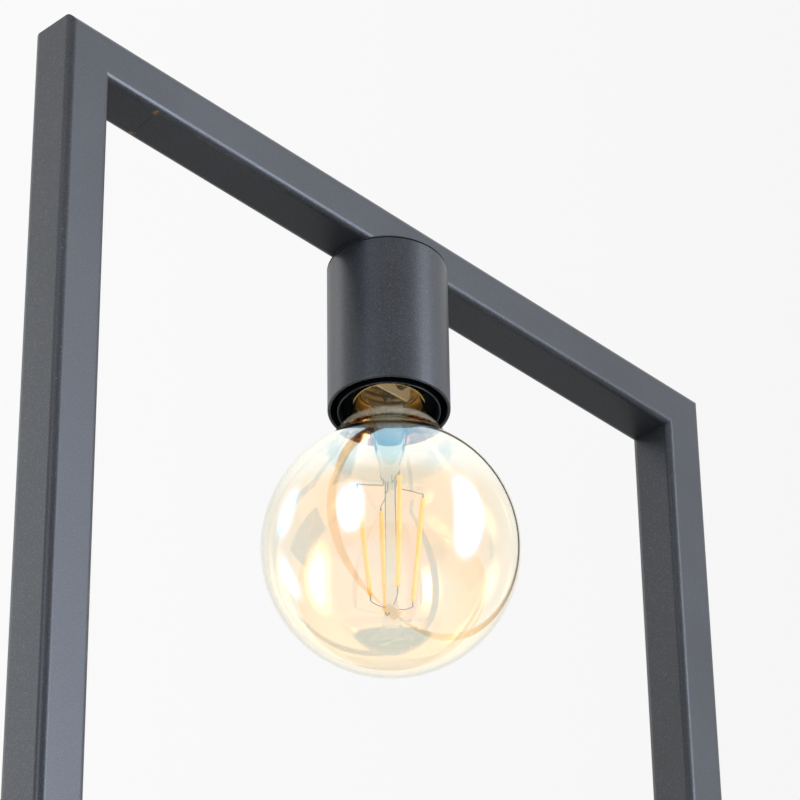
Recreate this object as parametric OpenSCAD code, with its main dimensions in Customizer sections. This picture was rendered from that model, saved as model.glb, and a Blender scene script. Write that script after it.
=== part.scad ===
// Floor lamp: a welded frame of square steel tube on a flat steel base plate.
// A round cup under the top bar hides the lampholder of a globe filament bulb.
// Millimetres. +Z is up, X runs along the bar, and -Y is the front.
// The origin is on the floor, at the centre of the base.

/* [Frame] */
// Outside width of the frame
frame_w = 345; // [280:1:420]
// Height from the floor to the top of the bar
lamp_h = 1500; // [1000:10:1800]
// Side of the square steel tube
tube = 20; // [19:0.5:30]
// Wall of the square tube
tube_wall = 1.5; // [1:0.1:1.8]
// Outside radius of the tube's long edges
tube_round = 2.8; // [2:0.1:4]

/* [Base] */
// Depth of the base plate
plate_d = 220; // [160:5:320]
// Thickness of the base plate
plate_t = 6; // [5:0.5:10]
// Radius of the base plate's corners
plate_round = 6; // [2:0.5:20]
// Diameter of a floor pad
pad_d = 22; // [12:1:30]
// Height of a floor pad
pad_t = 2.5; // [1.5:0.1:5]
// Distance of a floor pad's centre from the plate's edges
pad_inset = 18; // [16:1:40]

/* [Post fixing] */
// Height of the threaded block in the foot of each post
insert_h = 14; // [8:1:30]
// Thread diameter of the base screws
screw_d = 8; // [5:0.5:8]
// Head diameter of the base screws
screw_head_d = 15; // [12:0.5:18]
// Length of the base screws, heads included
screw_len = 20; // [16:1:30]
// Hexagon socket of the base screws, across flats
screw_socket = 5; // [3:0.5:6]

/* [Cable inlet] */
// Height of the cable inlet above the base plate
inlet_h = 45; // [35:1:120]
// Bore of the cable bush
bush_bore = 6.6; // [6:0.1:7.4]
// Diameter of the hole for the cable bush
bush_hole = 10; // [9.4:0.1:11]
// Diameter of the bush's outer flange
bush_flange_d = 14; // [12:0.5:16]
// Thickness of the bush's outer flange
bush_flange_t = 3; // [1.5:0.1:5]
// Diameter of the lead inside the frame
lead_d = 5.8; // [4:0.1:6]
// Bend radius of the lead's centre line inside the bar
lead_bend = 8; // [6:0.5:8.5]

/* [Cup] */
// Outside diameter of the cup
cup_d = 46; // [43:0.5:60]
// Wall of the cup
cup_wall = 1.2; // [0.8:0.1:1.6]
// How far the lampholder's mouth stands below the cup's rim
rim_step = 0.4; // [0:0.1:3]

/* [Lampholder] */
// Outside diameter of the lampholder
holder_d = 38.6; // [37.6:0.1:40]
// Length of the lampholder from its top face to its mouth
holder_len = 63.4; // [62:0.1:68]
// Wall of the lampholder's cap and skirt
holder_wall = 1.3; // [1:0.1:1.6]
// Thread diameter of the hollow nipple
nipple_d = 10; // [9.6:0.1:11]
// Bore of the nipple
nipple_bore = 7.4; // [6.8:0.1:8]
// Width of the nut across its flats
nut_flats = 14; // [13:0.5:15]
// Thickness of the nut
nut_t = 4; // [3:0.1:4.5]
// Thickness of the toothed washer
washer_t = 0.8; // [0.5:0.1:1.2]
// Teeth on the washer
washer_teeth = 12; // [8:1:16]

/* [Bulb] */
// Diameter of the glass globe
globe_d = 95; // [80:1:110]
// Thickness of the bulb's glass
glass_t = 0.9; // [0.6:0.1:1.1]
// Narrowest radius that the neck's curve runs to
neck_r = 11.8; // [11.4:0.1:11.9]
// Radius of the neck's outward curve
neck_flare = 45; // [40:1:60]
// Length of the screw cap with its contact
cap_len = 27.5; // [26:0.1:28.5]
// Height of the cap's lower edge above the lampholder's mouth
cap_recess = 3.5; // [2:0.1:4]

/* [Screw thread] */
// Pitch of the bulb's thread
pitch = 3.629; // [3:0.001:4]
// Mean radius of the cap's thread
thread_r = 12.68; // [12.5:0.01:12.8]
// Depth of the thread from root to crest
thread_depth = 1; // [0.6:0.05:1.1]
// Radial room between the cap's thread and the screw shell's
thread_room = 0.25; // [0.2:0.01:0.3]

/* [Filaments] */
// Number of filaments
filament_n = 4; // [2:1:8]
// Length of a filament's lit body
filament_len = 46; // [30:1:56]
// Diameter of a filament
filament_d = 1.8; // [1:0.1:2.5]
// Radius of the ring of the filaments' upper ends
cage_top_r = 12.5; // [9:0.5:15]
// Radius of the ring of the filaments' lower ends
cage_low_r = 8; // [6:0.5:12]
// Height of the filaments' upper ends above the globe's centre
cage_rise = 24; // [16:1:28]
// Turn of the first filament from the X axis
cage_turn = -30; // [-45:1:45]

/* [Hidden] */

// Finishes
paint_black = [0.13, 0.135, 0.15];
steel = [0.62, 0.63, 0.65];
zinc = [0.75, 0.76, 0.78];
brass = [0.80, 0.66, 0.36];
nickel = [0.78, 0.77, 0.74];
plastic_black = [0.05, 0.05, 0.05];
ceramic_white = [0.90, 0.89, 0.86];
rubber_black = [0.09, 0.09, 0.09];
amber_glass = [0.93, 0.78, 0.50, 0.45];
clear_glass = [0.85, 0.90, 0.92, 0.5];
phosphor = [0.98, 0.80, 0.25];
board_green = [0.16, 0.42, 0.26];
core_brown = [0.36, 0.20, 0.10];

// Facets of round pieces, and a small overshoot for cuts
round_fn = 96;
small_fn = 48;
cut = 1;

// Clearances
slip = 0.1;
loose = 0.2;
seat = 0.3;
thread_fit = 0.05;
neck_fit = 0.42;

// Levels of the frame
plate_z = pad_t;
post_z = plate_z + plate_t;
bar_z = lamp_h - tube;
post_x = frame_w/2 - tube/2;
tube_in = tube - 2*tube_wall;
tube_in_round = max(tube_round - tube_wall, 0.3);
bar_floor = bar_z + tube_wall;
bar_roof = lamp_h - tube_wall;

// Cable bush: its neck fills the hole, and a lip holds it behind the wall
inlet_z = post_z + inlet_h;
bush_lip = 0.6;
bush_lip_t = 1.2;
bush_edge = 1.2;
bush_inner_y = tube_in/2 - slip - bush_lip_t;

// Lead: along the bar it lies under the bar's roof
lead_r = lead_d/2;
lead_inlet_bend = bush_inner_y - seat;
lead_z = bar_roof - lead_r - seat;
sheath_z = bar_z - 13;
core_d = 2;
core_off = 1.3;
core_straight = 2.9;

// Lampholder levels, all down from the bar's underside
cup_top_z = bar_z - cup_wall;
holder_top_z = cup_top_z - washer_t;
mouth_z = holder_top_z - holder_len;
cup_rim_z = mouth_z + rim_step;
cup_edge = 0.5;
holder_r = holder_d/2;
skirt_in_r = holder_r - holder_wall;
collar_r = 8.5;
collar_h = 6;
dome_round = 10;
dome_lap = 2;
cap_h = 24;
spigot_h = 3;
spigot_r = skirt_in_r - loose;
cap_low_z = holder_top_z - cap_h;
insert_top_z = cap_low_z - spigot_h - slip;
insert_disc_t = 3;
insert_r = skirt_in_r - loose;
guard_top_z = mouth_z + 7;
collar_low_z = guard_top_z + slip;
nipple_top_z = bar_floor + nut_t + 0.5;
nipple_low_z = holder_top_z - collar_h - 2;
nipple_room = 0.4;
guard_room = 0.35;
guard_show = 0.4;

// Terminals, on top of the insert
terminal_x = 9;
terminal_w = 5;
terminal_h = 4.5;
terminal_screw_r = 1.5;

// Cap of the bulb
cap_low_edge_z = mouth_z + cap_recess;
tip_z = cap_low_edge_z + cap_len;
cap_wall = 0.3;
skirt_h = 5.6;
skirt_swell = 0.27;
cap_skirt_r = thread_r + thread_depth/2 + skirt_swell;
cap_bore_r = thread_r - thread_depth/2 - cap_wall;
skirt_bore_r = cap_skirt_r - cap_wall;
skirt_bore_h = skirt_h - 2*cap_wall;
thread_low_z = cap_low_edge_z + skirt_h;
thread_top_z = tip_z - 7;
contact_r = 4.8;
contact_t = 1.3;
contact_edge = 0.6;
rivet_r = 1.5;
rivet_h = 3;

// Screw shell, from just above the cap's plain skirt
shell_wall = 0.5;
shell_thread_r = thread_r + thread_room;
shell_out_r = shell_thread_r + thread_depth/2 + shell_wall;
shell_low_z = thread_low_z + slip;
shell_len = 19;
shell_top_r = 7.8;
shell_top_z = shell_low_z + shell_len;
recess_r = shell_out_r + loose;
recess_top_z = insert_top_z - insert_disc_t;

// Glass: the neck's curve meets the globe, and fits the cap's skirt at the cap's edge
globe_r = globe_d/2;
flare_x = neck_r + neck_flare;
flare_y = sqrt(pow(globe_r + neck_flare, 2) - flare_x*flare_x);
neck_edge_r = skirt_bore_r - neck_fit;
globe_drop = flare_y - sqrt(neck_flare*neck_flare - pow(flare_x - neck_edge_r, 2));
globe_z = cap_low_edge_z - globe_drop;
neck_top = globe_drop + skirt_bore_h - slip;

// Cage of filaments, from the globe's centre
cage_drop = sqrt(filament_len*filament_len - pow(cage_top_r - cage_low_r, 2));
cage_low = cage_rise - cage_drop;
tab_len = 1.6;
tab_r = 0.4;
wire_r = 0.35;
bend_swell = 1.2;

// Stem: a flared tube, a press where it closes, and a rod with a bead at its end
stem_top = neck_top - slip;
stem_r = 5.9;
stem_wall = 0.9;
stem_flare_r = 10.6;
stem_flare_h = 9;
press_r = 3.6;
press_h = 5;
press_low = cage_rise + 6.6;
rod_r = 2;
bead_r = 2.6;
bead_y = cage_low - 4;
wire_ring_r = rod_r + wire_r + loose;
hub_y = cage_rise + 3;

// Driver board and its parts
board_h = 12;
board_t = 1;
board_room = 0.45;

// Thread grid: sides round the axis and steps in each turn
thread_sides = 32;
thread_steps = 8;

// Rounded rectangle about the origin
module rounded_rect(w, d, r) {
    square([w - 2*r, d], center = true);
    square([w, d - 2*r], center = true);
    for (x = [-1, 1], y = [-1, 1])
        translate([x*(w/2 - r), y*(d/2 - r)]) circle(r, $fn = small_fn);
}

// Section of the square tube
module tube_section() {
    difference() {
        rounded_rect(tube, tube, tube_round);
        rounded_rect(tube_in, tube_in, tube_in_round);
    }
}

// Block on one side of the left corner's mitre plane: side 1 is above it, -1 below
module mitre_block(side) {
    translate([-frame_w/2, 0, lamp_h]) rotate([0, 45, 0])
        translate([-2*tube, -tube, side > 0 ? 0 : -3*tube])
            cube([4*tube, 2*tube, 3*tube]);
}

// Straight round rod from point a to point b
module rod(a, b, r) {
    run = b - a;
    len = norm(run);
    translate(a)
        rotate([0, acos(run[2]/len), atan2(run[1], run[0])])
            cylinder(r = r, h = len, $fn = 24);
}

// Round bar bent through 90 degrees, in the XY plane from +X to +Y
module elbow(bend, r) {
    rotate_extrude(angle = 90, $fn = round_fn)
        translate([bend, 0]) circle(r, $fn = 32);
}

// Half section of a can whose far edge is rounded
module can_section(r, h, edge) {
    square([r - edge, h]);
    square([r, h - edge]);
    translate([r - edge, h - edge]) circle(edge, $fn = small_fn);
}

// Ring of the outline of radius r1 less r0, from z0 up to z1
module ring(r0, r1, z0, z1, fn = round_fn) {
    translate([0, 0, z0]) difference() {
        cylinder(r = r1, h = z1 - z0, $fn = fn);
        translate([0, 0, -cut]) cylinder(r = r0, h = z1 - z0 + 2*cut, $fn = fn);
    }
}

// Solid with a right-hand knuckle thread: its radius is a cosine of the turn and the height
function knuckle_r(mean, deep, turn, z) = mean + deep/2*cos(turn - 360*z/pitch);
module knuckle(mean, deep, z0, z1) {
    steps = max(2, ceil((z1 - z0)/pitch*thread_steps));
    rings = [for (k = [0:steps]) let (z = z0 + (z1 - z0)*k/steps)
        for (i = [0:thread_sides - 1]) let (t = 360*i/thread_sides, r = knuckle_r(mean, deep, t, z))
            [r*cos(t), r*sin(t), z]];
    walls = [for (k = [0:steps - 1], i = [0:thread_sides - 1])
        let (j = (i + 1) % thread_sides, a = k*thread_sides, b = a + thread_sides)
            each [[a + i, b + i, b + j], [a + i, b + j, a + j]]];
    low = [for (i = [0:thread_sides - 1]) i];
    high = [for (i = [thread_sides - 1:-1:0]) steps*thread_sides + i];
    polyhedron(rings, concat(walls, [low], [high]), convexity = 4);
}

// Posts, mitred to the bar at the top
module left_post() {
    color(paint_black) difference() {
        translate([-post_x, 0, post_z]) linear_extrude(lamp_h - post_z) tube_section();
        mitre_block(1);
        translate([-post_x, tube/2 + cut, inlet_z]) rotate([90, 0, 0])
            cylinder(d = bush_hole, h = tube_wall + 2*cut, $fn = small_fn);
    }
}

module right_post() {
    color(paint_black) mirror([1, 0, 0]) difference() {
        translate([-post_x, 0, post_z]) linear_extrude(lamp_h - post_z) tube_section();
        mitre_block(1);
    }
}

// Bar, mitred at both ends, with the nipple's hole in its floor
module top_bar() {
    color(paint_black) difference() {
        translate([-frame_w/2, 0, bar_z + tube/2]) rotate([0, 90, 0])
            linear_extrude(frame_w) tube_section();
        mitre_block(-1);
        mirror([1, 0, 0]) mitre_block(-1);
        translate([0, 0, bar_z - cut])
            cylinder(d = nipple_d + nipple_room, h = tube_wall + 2*cut, $fn = small_fn);
    }
}

// Base plate with a countersunk hole under each post
module base_plate() {
    color(paint_black) difference() {
        translate([0, 0, plate_z]) linear_extrude(plate_t) rounded_rect(frame_w, plate_d, plate_round);
        for (x = [-post_x, post_x]) translate([x, 0, plate_z]) {
            translate([0, 0, -cut]) cylinder(d = screw_d + 2*loose, h = plate_t + 2*cut, $fn = small_fn);
            countersink(slip);
        }
    }
}

// Cone of a countersunk head, grown by the given room
module countersink(room) {
    r = screw_head_d/2 + room;
    low_r = screw_d/2;
    cylinder(r1 = r, r2 = low_r, h = r - low_r, $fn = small_fn);
}

module floor_pads() {
    color(rubber_black)
        for (x = [-1, 1], y = [-1, 1])
            translate([x*(frame_w/2 - pad_inset), y*(plate_d/2 - pad_inset), 0])
                rotate_extrude($fn = small_fn) pad_section();
}

// Half section of a pad, with a small round at the floor
module pad_section() {
    edge = 0.6;
    translate([0, edge]) square([pad_d/2, pad_t - edge]);
    square([pad_d/2 - edge, pad_t]);
    translate([pad_d/2 - edge, edge]) intersection() {
        circle(edge, $fn = 32);
        translate([-edge, -edge]) square([2*edge, edge]);
    }
}

// Threaded blocks welded into the feet of the posts
module post_inserts() {
    side = tube_in - 2*slip;
    color(steel) for (x = [-post_x, post_x]) translate([x, 0, post_z]) difference() {
        linear_extrude(insert_h) rounded_rect(side, side, tube_in_round + loose);
        translate([0, 0, -cut]) cylinder(d = screw_d + 2*thread_fit, h = insert_h + 2*cut, $fn = small_fn);
    }
}

module base_screws() {
    color(zinc) for (x = [-post_x, post_x]) translate([x, 0, plate_z]) difference() {
        union() {
            countersink(0);
            cylinder(d = screw_d, h = screw_len, $fn = small_fn);
        }
        translate([0, 0, -cut])
            cylinder(d = screw_socket/cos(30), h = cut + screw_socket/2, $fn = 6);
    }
}

// Bush with a domed flange outside and a lip behind the wall
module cable_bush() {
    r = bush_bore/2;
    neck = bush_hole/2 - slip;
    color(rubber_black) translate([-post_x, 0, inlet_z]) rotate([-90, 0, 0]) rotate_extrude($fn = small_fn)
        difference() {
            union() {
                translate([0, bush_inner_y]) square([neck, tube/2 - bush_inner_y]);
                translate([0, bush_inner_y]) square([neck + bush_lip, bush_lip_t]);
                translate([0, tube/2]) can_section(bush_flange_d/2, bush_flange_t, bush_edge);
            }
            translate([-bush_flange_d, 0]) square([bush_flange_d + r, 2*tube]);
        }
}

// Lead from the bush up the left post, along the bar and down through the nipple
module inner_lead() {
    post_top = lead_z - lead_bend;
    color(plastic_black) {
        union() {
            translate([-post_x, lead_inlet_bend, inlet_z + lead_inlet_bend])
                mirror([0, 1, 0]) rotate([0, 90, 0]) elbow(lead_inlet_bend, lead_r);
            translate([-post_x, 0, inlet_z + lead_inlet_bend])
                cylinder(r = lead_r, h = post_top - inlet_z - lead_inlet_bend, $fn = 32);
            translate([-post_x + lead_bend, 0, post_top]) mirror([1, 0, 0]) rotate([90, 0, 0])
                elbow(lead_bend, lead_r);
            translate([-post_x + lead_bend, 0, lead_z]) rotate([0, 90, 0])
                cylinder(r = lead_r, h = post_x - 2*lead_bend, $fn = 32);
            translate([-lead_bend, 0, post_top]) rotate([90, 0, 0]) elbow(lead_bend, lead_r);
            translate([0, 0, sheath_z]) cylinder(r = lead_r, h = post_top - sheath_z, $fn = 32);
        }
    }
}

// Two cores from the end of the sheath to the terminals
module lead_cores() {
    color(core_brown) for (s = [-1, 1]) {
        from = [s*core_off, 0, sheath_z - slip];
        bend = from - [0, 0, core_straight];
        to = [s*(terminal_x - terminal_w/2 - core_d/2), 0, insert_top_z + terminal_h/2 + 1];
        rod(from, bend - [0, 0, core_d/4], core_d/2);
        rod(bend, to, core_d/2);
    }
}

// Cup: closed at the top, with a thin lip at the rim
module holder_cup() {
    h = bar_z - cup_rim_z;
    lip = cup_wall/2;
    color(paint_black) translate([0, 0, bar_z]) mirror([0, 0, 1]) rotate_extrude($fn = round_fn)
        difference() {
            union() {
                square([cup_d/2 - cup_edge, h - lip]);
                translate([0, cup_edge]) square([cup_d/2, h - lip - cup_edge]);
                translate([cup_d/2 - cup_edge, cup_edge]) circle(cup_edge, $fn = 32);
                translate([cup_d/2 - lip, h - lip]) circle(lip, $fn = 32);
            }
            translate([-cup_d, cup_wall]) square([cup_d + cup_d/2 - cup_wall, h + cut]);
            translate([-cup_d, -cut]) square([cup_d + (nipple_d + nipple_room)/2, h + 2*cut]);
        }
}

module nipple_nut() {
    color(zinc) translate([0, 0, bar_floor]) difference() {
        cylinder(d = nut_flats/cos(30), h = nut_t, $fn = 6);
        translate([0, 0, -cut]) cylinder(d = nipple_d + 2*thread_fit, h = nut_t + 2*cut, $fn = small_fn);
    }
}

module nipple() {
    color(zinc) ring(nipple_bore/2, nipple_d/2, nipple_low_z, nipple_top_z, small_fn);
}

// Lock washer between the cup and the lampholder, notched round its edge
module tooth_washer() {
    r = collar_r + 0.5;
    notch_w = 1.2;
    notch_deep = 1.6;
    color(zinc) difference() {
        ring((nipple_d + nipple_room)/2, r, holder_top_z, cup_top_z, small_fn);
        for (i = [0:washer_teeth - 1]) rotate(i*360/washer_teeth)
            translate([r - notch_deep, -notch_w/2, holder_top_z - cut])
                cube([notch_deep + cut, notch_w, washer_t + 2*cut]);
    }
}

// Domed cap of the lampholder: a threaded collar, a dome and a spigot for the skirt
module holder_cap() {
    body_h = cap_h - collar_h + dome_lap;
    color(plastic_black) translate([0, 0, cap_low_z]) rotate_extrude($fn = round_fn) difference() {
        union() {
            can_section(holder_r, body_h, dome_round);
            square([collar_r, cap_h]);
            translate([0, -spigot_h]) square([spigot_r, spigot_h + cut]);
        }
        translate([0, -spigot_h - cut])
            can_section(spigot_r - holder_wall, body_h - holder_wall + spigot_h + cut, dome_round - holder_wall);
        translate([-cut, -spigot_h - cut])
            square([nipple_d/2 + thread_fit + cut, cap_h + spigot_h + 2*cut]);
    }
}

// Skirt of the lampholder: its mouth thins to an edge, and a guard ring hides the screw shell
module holder_skirt() {
    lip = 0.3;
    bite = lip*sin(45);
    guard_r = cap_skirt_r + guard_room;
    guard_low_z = cap_low_edge_z + guard_show;
    wall_h = cap_low_z - mouth_z;
    color(plastic_black) translate([0, 0, mouth_z]) rotate_extrude($fn = round_fn) {
        polygon([
            [skirt_in_r, wall_h], [skirt_in_r, holder_wall - 2*bite],
            [holder_r - lip - bite, lip - bite], [holder_r - lip, lip], [holder_r, lip], [holder_r, wall_h]
        ]);
        translate([holder_r - lip, lip]) circle(lip, $fn = 32);
        translate([guard_r, guard_low_z - mouth_z])
            square([skirt_in_r - guard_r + lip, guard_top_z - guard_low_z]);
    }
}

// Insulating insert: a disc with a deep recess for the screw shell
module holder_insert() {
    rivet_hole_r = 2.2;
    groove_r = 1.2;
    color(ceramic_white) difference() {
        ring(rivet_hole_r, insert_r, collar_low_z, insert_top_z);
        translate([0, 0, collar_low_z - cut])
            cylinder(r = recess_r, h = recess_top_z - collar_low_z + cut, $fn = round_fn);
        for (a = [45:90:315]) rotate(a) translate([insert_r, 0, collar_low_z - cut])
            cylinder(r = groove_r, h = insert_top_z - collar_low_z + 2*cut, $fn = 24);
    }
}

// Threaded sleeve that the bulb screws into, with an inward lip at its top
module screw_shell() {
    color(brass) difference() {
        ring(shell_top_r, shell_out_r, shell_low_z, shell_top_z + shell_wall);
        knuckle(shell_thread_r, thread_depth, shell_low_z - cut, shell_top_z);
    }
}

// Spring strip that meets the bulb's centre contact
module contact_spring() {
    w = 6;
    t = 0.4;
    len = 10;
    high = recess_top_z - t;
    low = tip_z + loose;
    color(brass) translate([-0.7*len, -w/2, 0]) {
        translate([0, 0, high]) cube([len, w, t]);
        translate([0, 0, low]) cube([t, w, high - low]);
        translate([0, 0, low]) cube([len, w, t]);
    }
}

module terminal_blocks() {
    color(brass) for (s = [-1, 1]) difference() {
        translate([s*terminal_x - terminal_w/2, -terminal_w/2, insert_top_z])
            cube([terminal_w, terminal_w, terminal_h]);
        translate([s*terminal_x, 0, insert_top_z + terminal_h/2])
            cylinder(r = terminal_screw_r + thread_fit, h = terminal_h, $fn = 24);
    }
}

module terminal_screws() {
    head_r = 2.2;
    head_h = 1.6;
    slot = 0.6;
    head_z = insert_top_z + terminal_h;
    color(zinc) for (s = [-1, 1]) translate([s*terminal_x, 0, head_z]) difference() {
        union() {
            cylinder(r = head_r, h = head_h, $fn = 32);
            translate([0, 0, -terminal_h/2 + loose])
                cylinder(r = terminal_screw_r, h = terminal_h/2, $fn = 24);
        }
        translate([-2*head_r, -slot/2, head_h - slot]) cube([4*head_r, slot, slot + cut]);
    }
}

// Outline of the blown glass, drawn in by the given inset
module glass_outline(inset) {
    r = globe_r - inset;
    share = r/(globe_r + neck_flare);
    circle(r, $fn = 128);
    difference() {
        translate([0, flare_y*share]) square([flare_x*share, neck_top - flare_y*share]);
        translate([flare_x, flare_y]) circle(neck_flare + inset, $fn = 256);
    }
}

module glass_globe() {
    color(amber_glass) translate([0, 0, globe_z]) rotate_extrude($fn = round_fn) intersection() {
        difference() {
            glass_outline(0);
            glass_outline(glass_t);
            translate([-globe_d, neck_top - cut]) square([globe_d + neck_r - glass_t, 2*cut]);
        }
        translate([0, -globe_d]) square([globe_d, 2*globe_d]);
    }
}

// Stem: hollow down to the press, then a solid rod that ends in a bead
module glass_stem() {
    tube_y = stem_top - stem_flare_h;
    inner_r = stem_r - stem_wall;
    widen = 1.4;
    bend = stem_flare_h/3;
    shoulder = press_low + press_h + 2*stem_r;
    color(clear_glass) translate([0, 0, globe_z]) union() {
        rotate_extrude($fn = small_fn) polygon([
            [stem_flare_r, stem_top], [stem_r + widen, tube_y + bend], [stem_r, tube_y],
            [stem_r, shoulder], [press_r, press_low + press_h], [press_r, press_low + wire_r],
            [press_r - wire_r, press_low], [rod_r, press_low], [rod_r, bead_y], [0, bead_y],
            [0, press_low + press_h], [inner_r, shoulder + stem_wall], [inner_r, tube_y],
            [inner_r + widen, tube_y + bend], [stem_flare_r - stem_wall, stem_top]
        ]);
        translate([0, 0, bead_y]) sphere(bead_r, $fn = 32);
    }
}

// Ends of filament i
function cage_angle(i) = cage_turn + 360*i/filament_n;
function around(r, a, z) = [r*cos(a), r*sin(a), z];
function top_end(i) = around(cage_top_r, cage_angle(i), globe_z + cage_rise);
function low_end(i) = around(cage_low_r, cage_angle(i), globe_z + cage_low);

// One filament: a thick lit body with a thin tab at each end
module filament(i) {
    a = top_end(i);
    b = low_end(i);
    along = (b - a)/norm(b - a);
    rod(a, b, filament_d/2);
    rod(a - along*tab_len, a + along*cut, tab_r);
    rod(b - along*cut, b + along*tab_len, tab_r);
}

module filaments() {
    color(phosphor) for (i = [0:filament_n - 1]) filament(i);
}

// Wires down from the press and out to the upper tabs
module upper_wires() {
    color(nickel) for (i = [0:filament_n - 1]) {
        a = top_end(i);
        along = (low_end(i) - a)/norm(low_end(i) - a);
        to = a - along*(tab_len + slip + wire_r);
        bend = around(wire_ring_r, cage_angle(i), globe_z + hub_y);
        from = around(wire_ring_r, cage_angle(i), globe_z + press_low - slip);
        union() {
            rod(bend, from, wire_r);
            rod(bend, to + (to - bend)/norm(to - bend)*tab_r, wire_r);
            translate(bend) sphere(wire_r*bend_swell, $fn = 16);
        }
    }
}

// Wires from the bead out to the lower tabs
module lower_wires() {
    color(nickel) for (i = [0:filament_n - 1]) {
        b = low_end(i);
        along = (b - top_end(i))/norm(b - top_end(i));
        to = b + along*(tab_len + slip + wire_r*bend_swell);
        from = around(bead_r + slip, cage_angle(i), globe_z + bead_y);
        rod(from, to + (to - from)/norm(to - from)*tab_r, wire_r);
    }
}

// Driver board on edge in the cap, with its parts on both faces
module driver_board() {
    low = globe_z + neck_top + seat;
    half = cap_bore_r - board_room;
    coil = [8, 3.2, 7];
    chip = [5, 2, 4];
    can_r = 2.4;
    can_len = 5;
    color(board_green) translate([0, 0, low]) union() {
        translate([-half, -board_t/2, 0]) cube([2*half, board_t, board_h]);
        translate([-coil[0]/2, board_t/2 - slip, 2]) cube(coil);
        translate([5.2, -board_t/2 + slip, 5.5]) rotate([90, 0, 0])
            cylinder(r = can_r, h = can_len, $fn = 32);
        translate([-8, -board_t/2 - chip[1] + slip, 3]) cube(chip);
    }
}

// Screw cap of the bulb: threaded above, with a plain skirt over the glass neck
module bulb_cap() {
    color(nickel) difference() {
        union() {
            knuckle(thread_r, thread_depth, thread_low_z - slip, thread_top_z);
            translate([0, 0, cap_low_edge_z]) cylinder(r = cap_skirt_r, h = skirt_h, $fn = round_fn);
        }
        translate([0, 0, cap_low_edge_z - cut])
            cylinder(r = skirt_bore_r, h = skirt_bore_h + cut, $fn = round_fn);
        translate([0, 0, cap_low_edge_z])
            cylinder(r = cap_bore_r, h = cap_len, $fn = round_fn);
    }
}

// Insulator between the cap and its centre contact
module cap_insulator() {
    wall = 2;
    in_r = rivet_r + slip;
    out_r = cap_bore_r - slip;
    high = tip_z - contact_t - slip;
    low = thread_top_z - wall;
    color(plastic_black) rotate_extrude($fn = small_fn) polygon([
        [in_r, high], [contact_r + 1, high], [out_r, thread_top_z], [out_r, low],
        [out_r - wall, low], [contact_r, high - wall], [in_r, high - wall]
    ]);
}

// Centre contact: a low dome on a rivet
module cap_contact() {
    color(brass) translate([0, 0, tip_z - contact_t]) {
        rotate_extrude($fn = small_fn) can_section(contact_r, contact_t, contact_edge);
        translate([0, 0, -rivet_h]) cylinder(r = rivet_r, h = rivet_h + contact_t/2, $fn = 32);
    }
}

left_post();
right_post();
top_bar();
base_plate();
floor_pads();
post_inserts();
base_screws();
cable_bush();
inner_lead();
lead_cores();
holder_cup();
nipple_nut();
nipple();
tooth_washer();
holder_cap();
holder_skirt();
holder_insert();
screw_shell();
contact_spring();
terminal_blocks();
terminal_screws();
glass_globe();
glass_stem();
filaments();
upper_wires();
lower_wires();
driver_board();
bulb_cap();
cap_insulator();
cap_contact();
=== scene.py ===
"""A floor lamp of black square tube with a globe filament bulb: finishes, smooth forms and a pale studio.

Everything is in metres, in the lamp's own frame: Z is up, X runs along the bar and -Y is the front.
"""

import enum
import logging
import math
from collections.abc import Callable, Sequence
from dataclasses import dataclass

import bmesh
import bpy
from mathutils import Matrix, Vector


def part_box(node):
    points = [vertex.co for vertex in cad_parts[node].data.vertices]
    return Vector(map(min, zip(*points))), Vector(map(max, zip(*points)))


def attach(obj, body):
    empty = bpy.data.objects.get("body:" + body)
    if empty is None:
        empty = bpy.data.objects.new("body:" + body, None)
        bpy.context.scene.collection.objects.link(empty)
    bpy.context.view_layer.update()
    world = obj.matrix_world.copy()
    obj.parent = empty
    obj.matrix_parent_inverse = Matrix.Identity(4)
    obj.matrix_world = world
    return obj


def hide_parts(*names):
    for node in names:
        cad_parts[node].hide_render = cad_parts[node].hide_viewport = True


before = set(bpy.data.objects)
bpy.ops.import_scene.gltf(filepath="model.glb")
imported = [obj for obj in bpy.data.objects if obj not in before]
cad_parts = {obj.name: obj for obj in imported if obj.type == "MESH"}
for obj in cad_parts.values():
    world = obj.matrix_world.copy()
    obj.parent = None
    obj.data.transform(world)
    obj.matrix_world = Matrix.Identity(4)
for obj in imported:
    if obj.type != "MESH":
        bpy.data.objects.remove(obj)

LOG = logging.getLogger("floor_lamp")
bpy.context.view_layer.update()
MM = 0.001
CREASE = 40.0
THREAD_CREASE = 50.0
THREAD_DEPTH = 1 * MM
THREAD_PITCH = 3.629 * MM
NIPPLE_HOLE = 10.4 * MM
WHITE = (1.0, 1.0, 1.0, 1.0)

Point2 = tuple[float, float]
Point3 = tuple[float, float, float]
Colour = tuple[float, float, float]
Profile = list[Point2]
Thing = bpy.types.Object
Socket = bpy.types.NodeSocket


class Body(enum.Enum):
    """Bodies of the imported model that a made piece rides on."""

    FRAME = "frame"
    BULB = "bulb"


def linked(name: str, data: bpy.types.ID) -> Thing:
    """Makes an object and links it to the scene.

    Args:
        name: Its name.
        data: Its mesh, light or camera.

    Returns:
        The object.
    """
    made = bpy.data.objects.new(name, data)
    bpy.context.scene.collection.objects.link(made)
    return made


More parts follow.
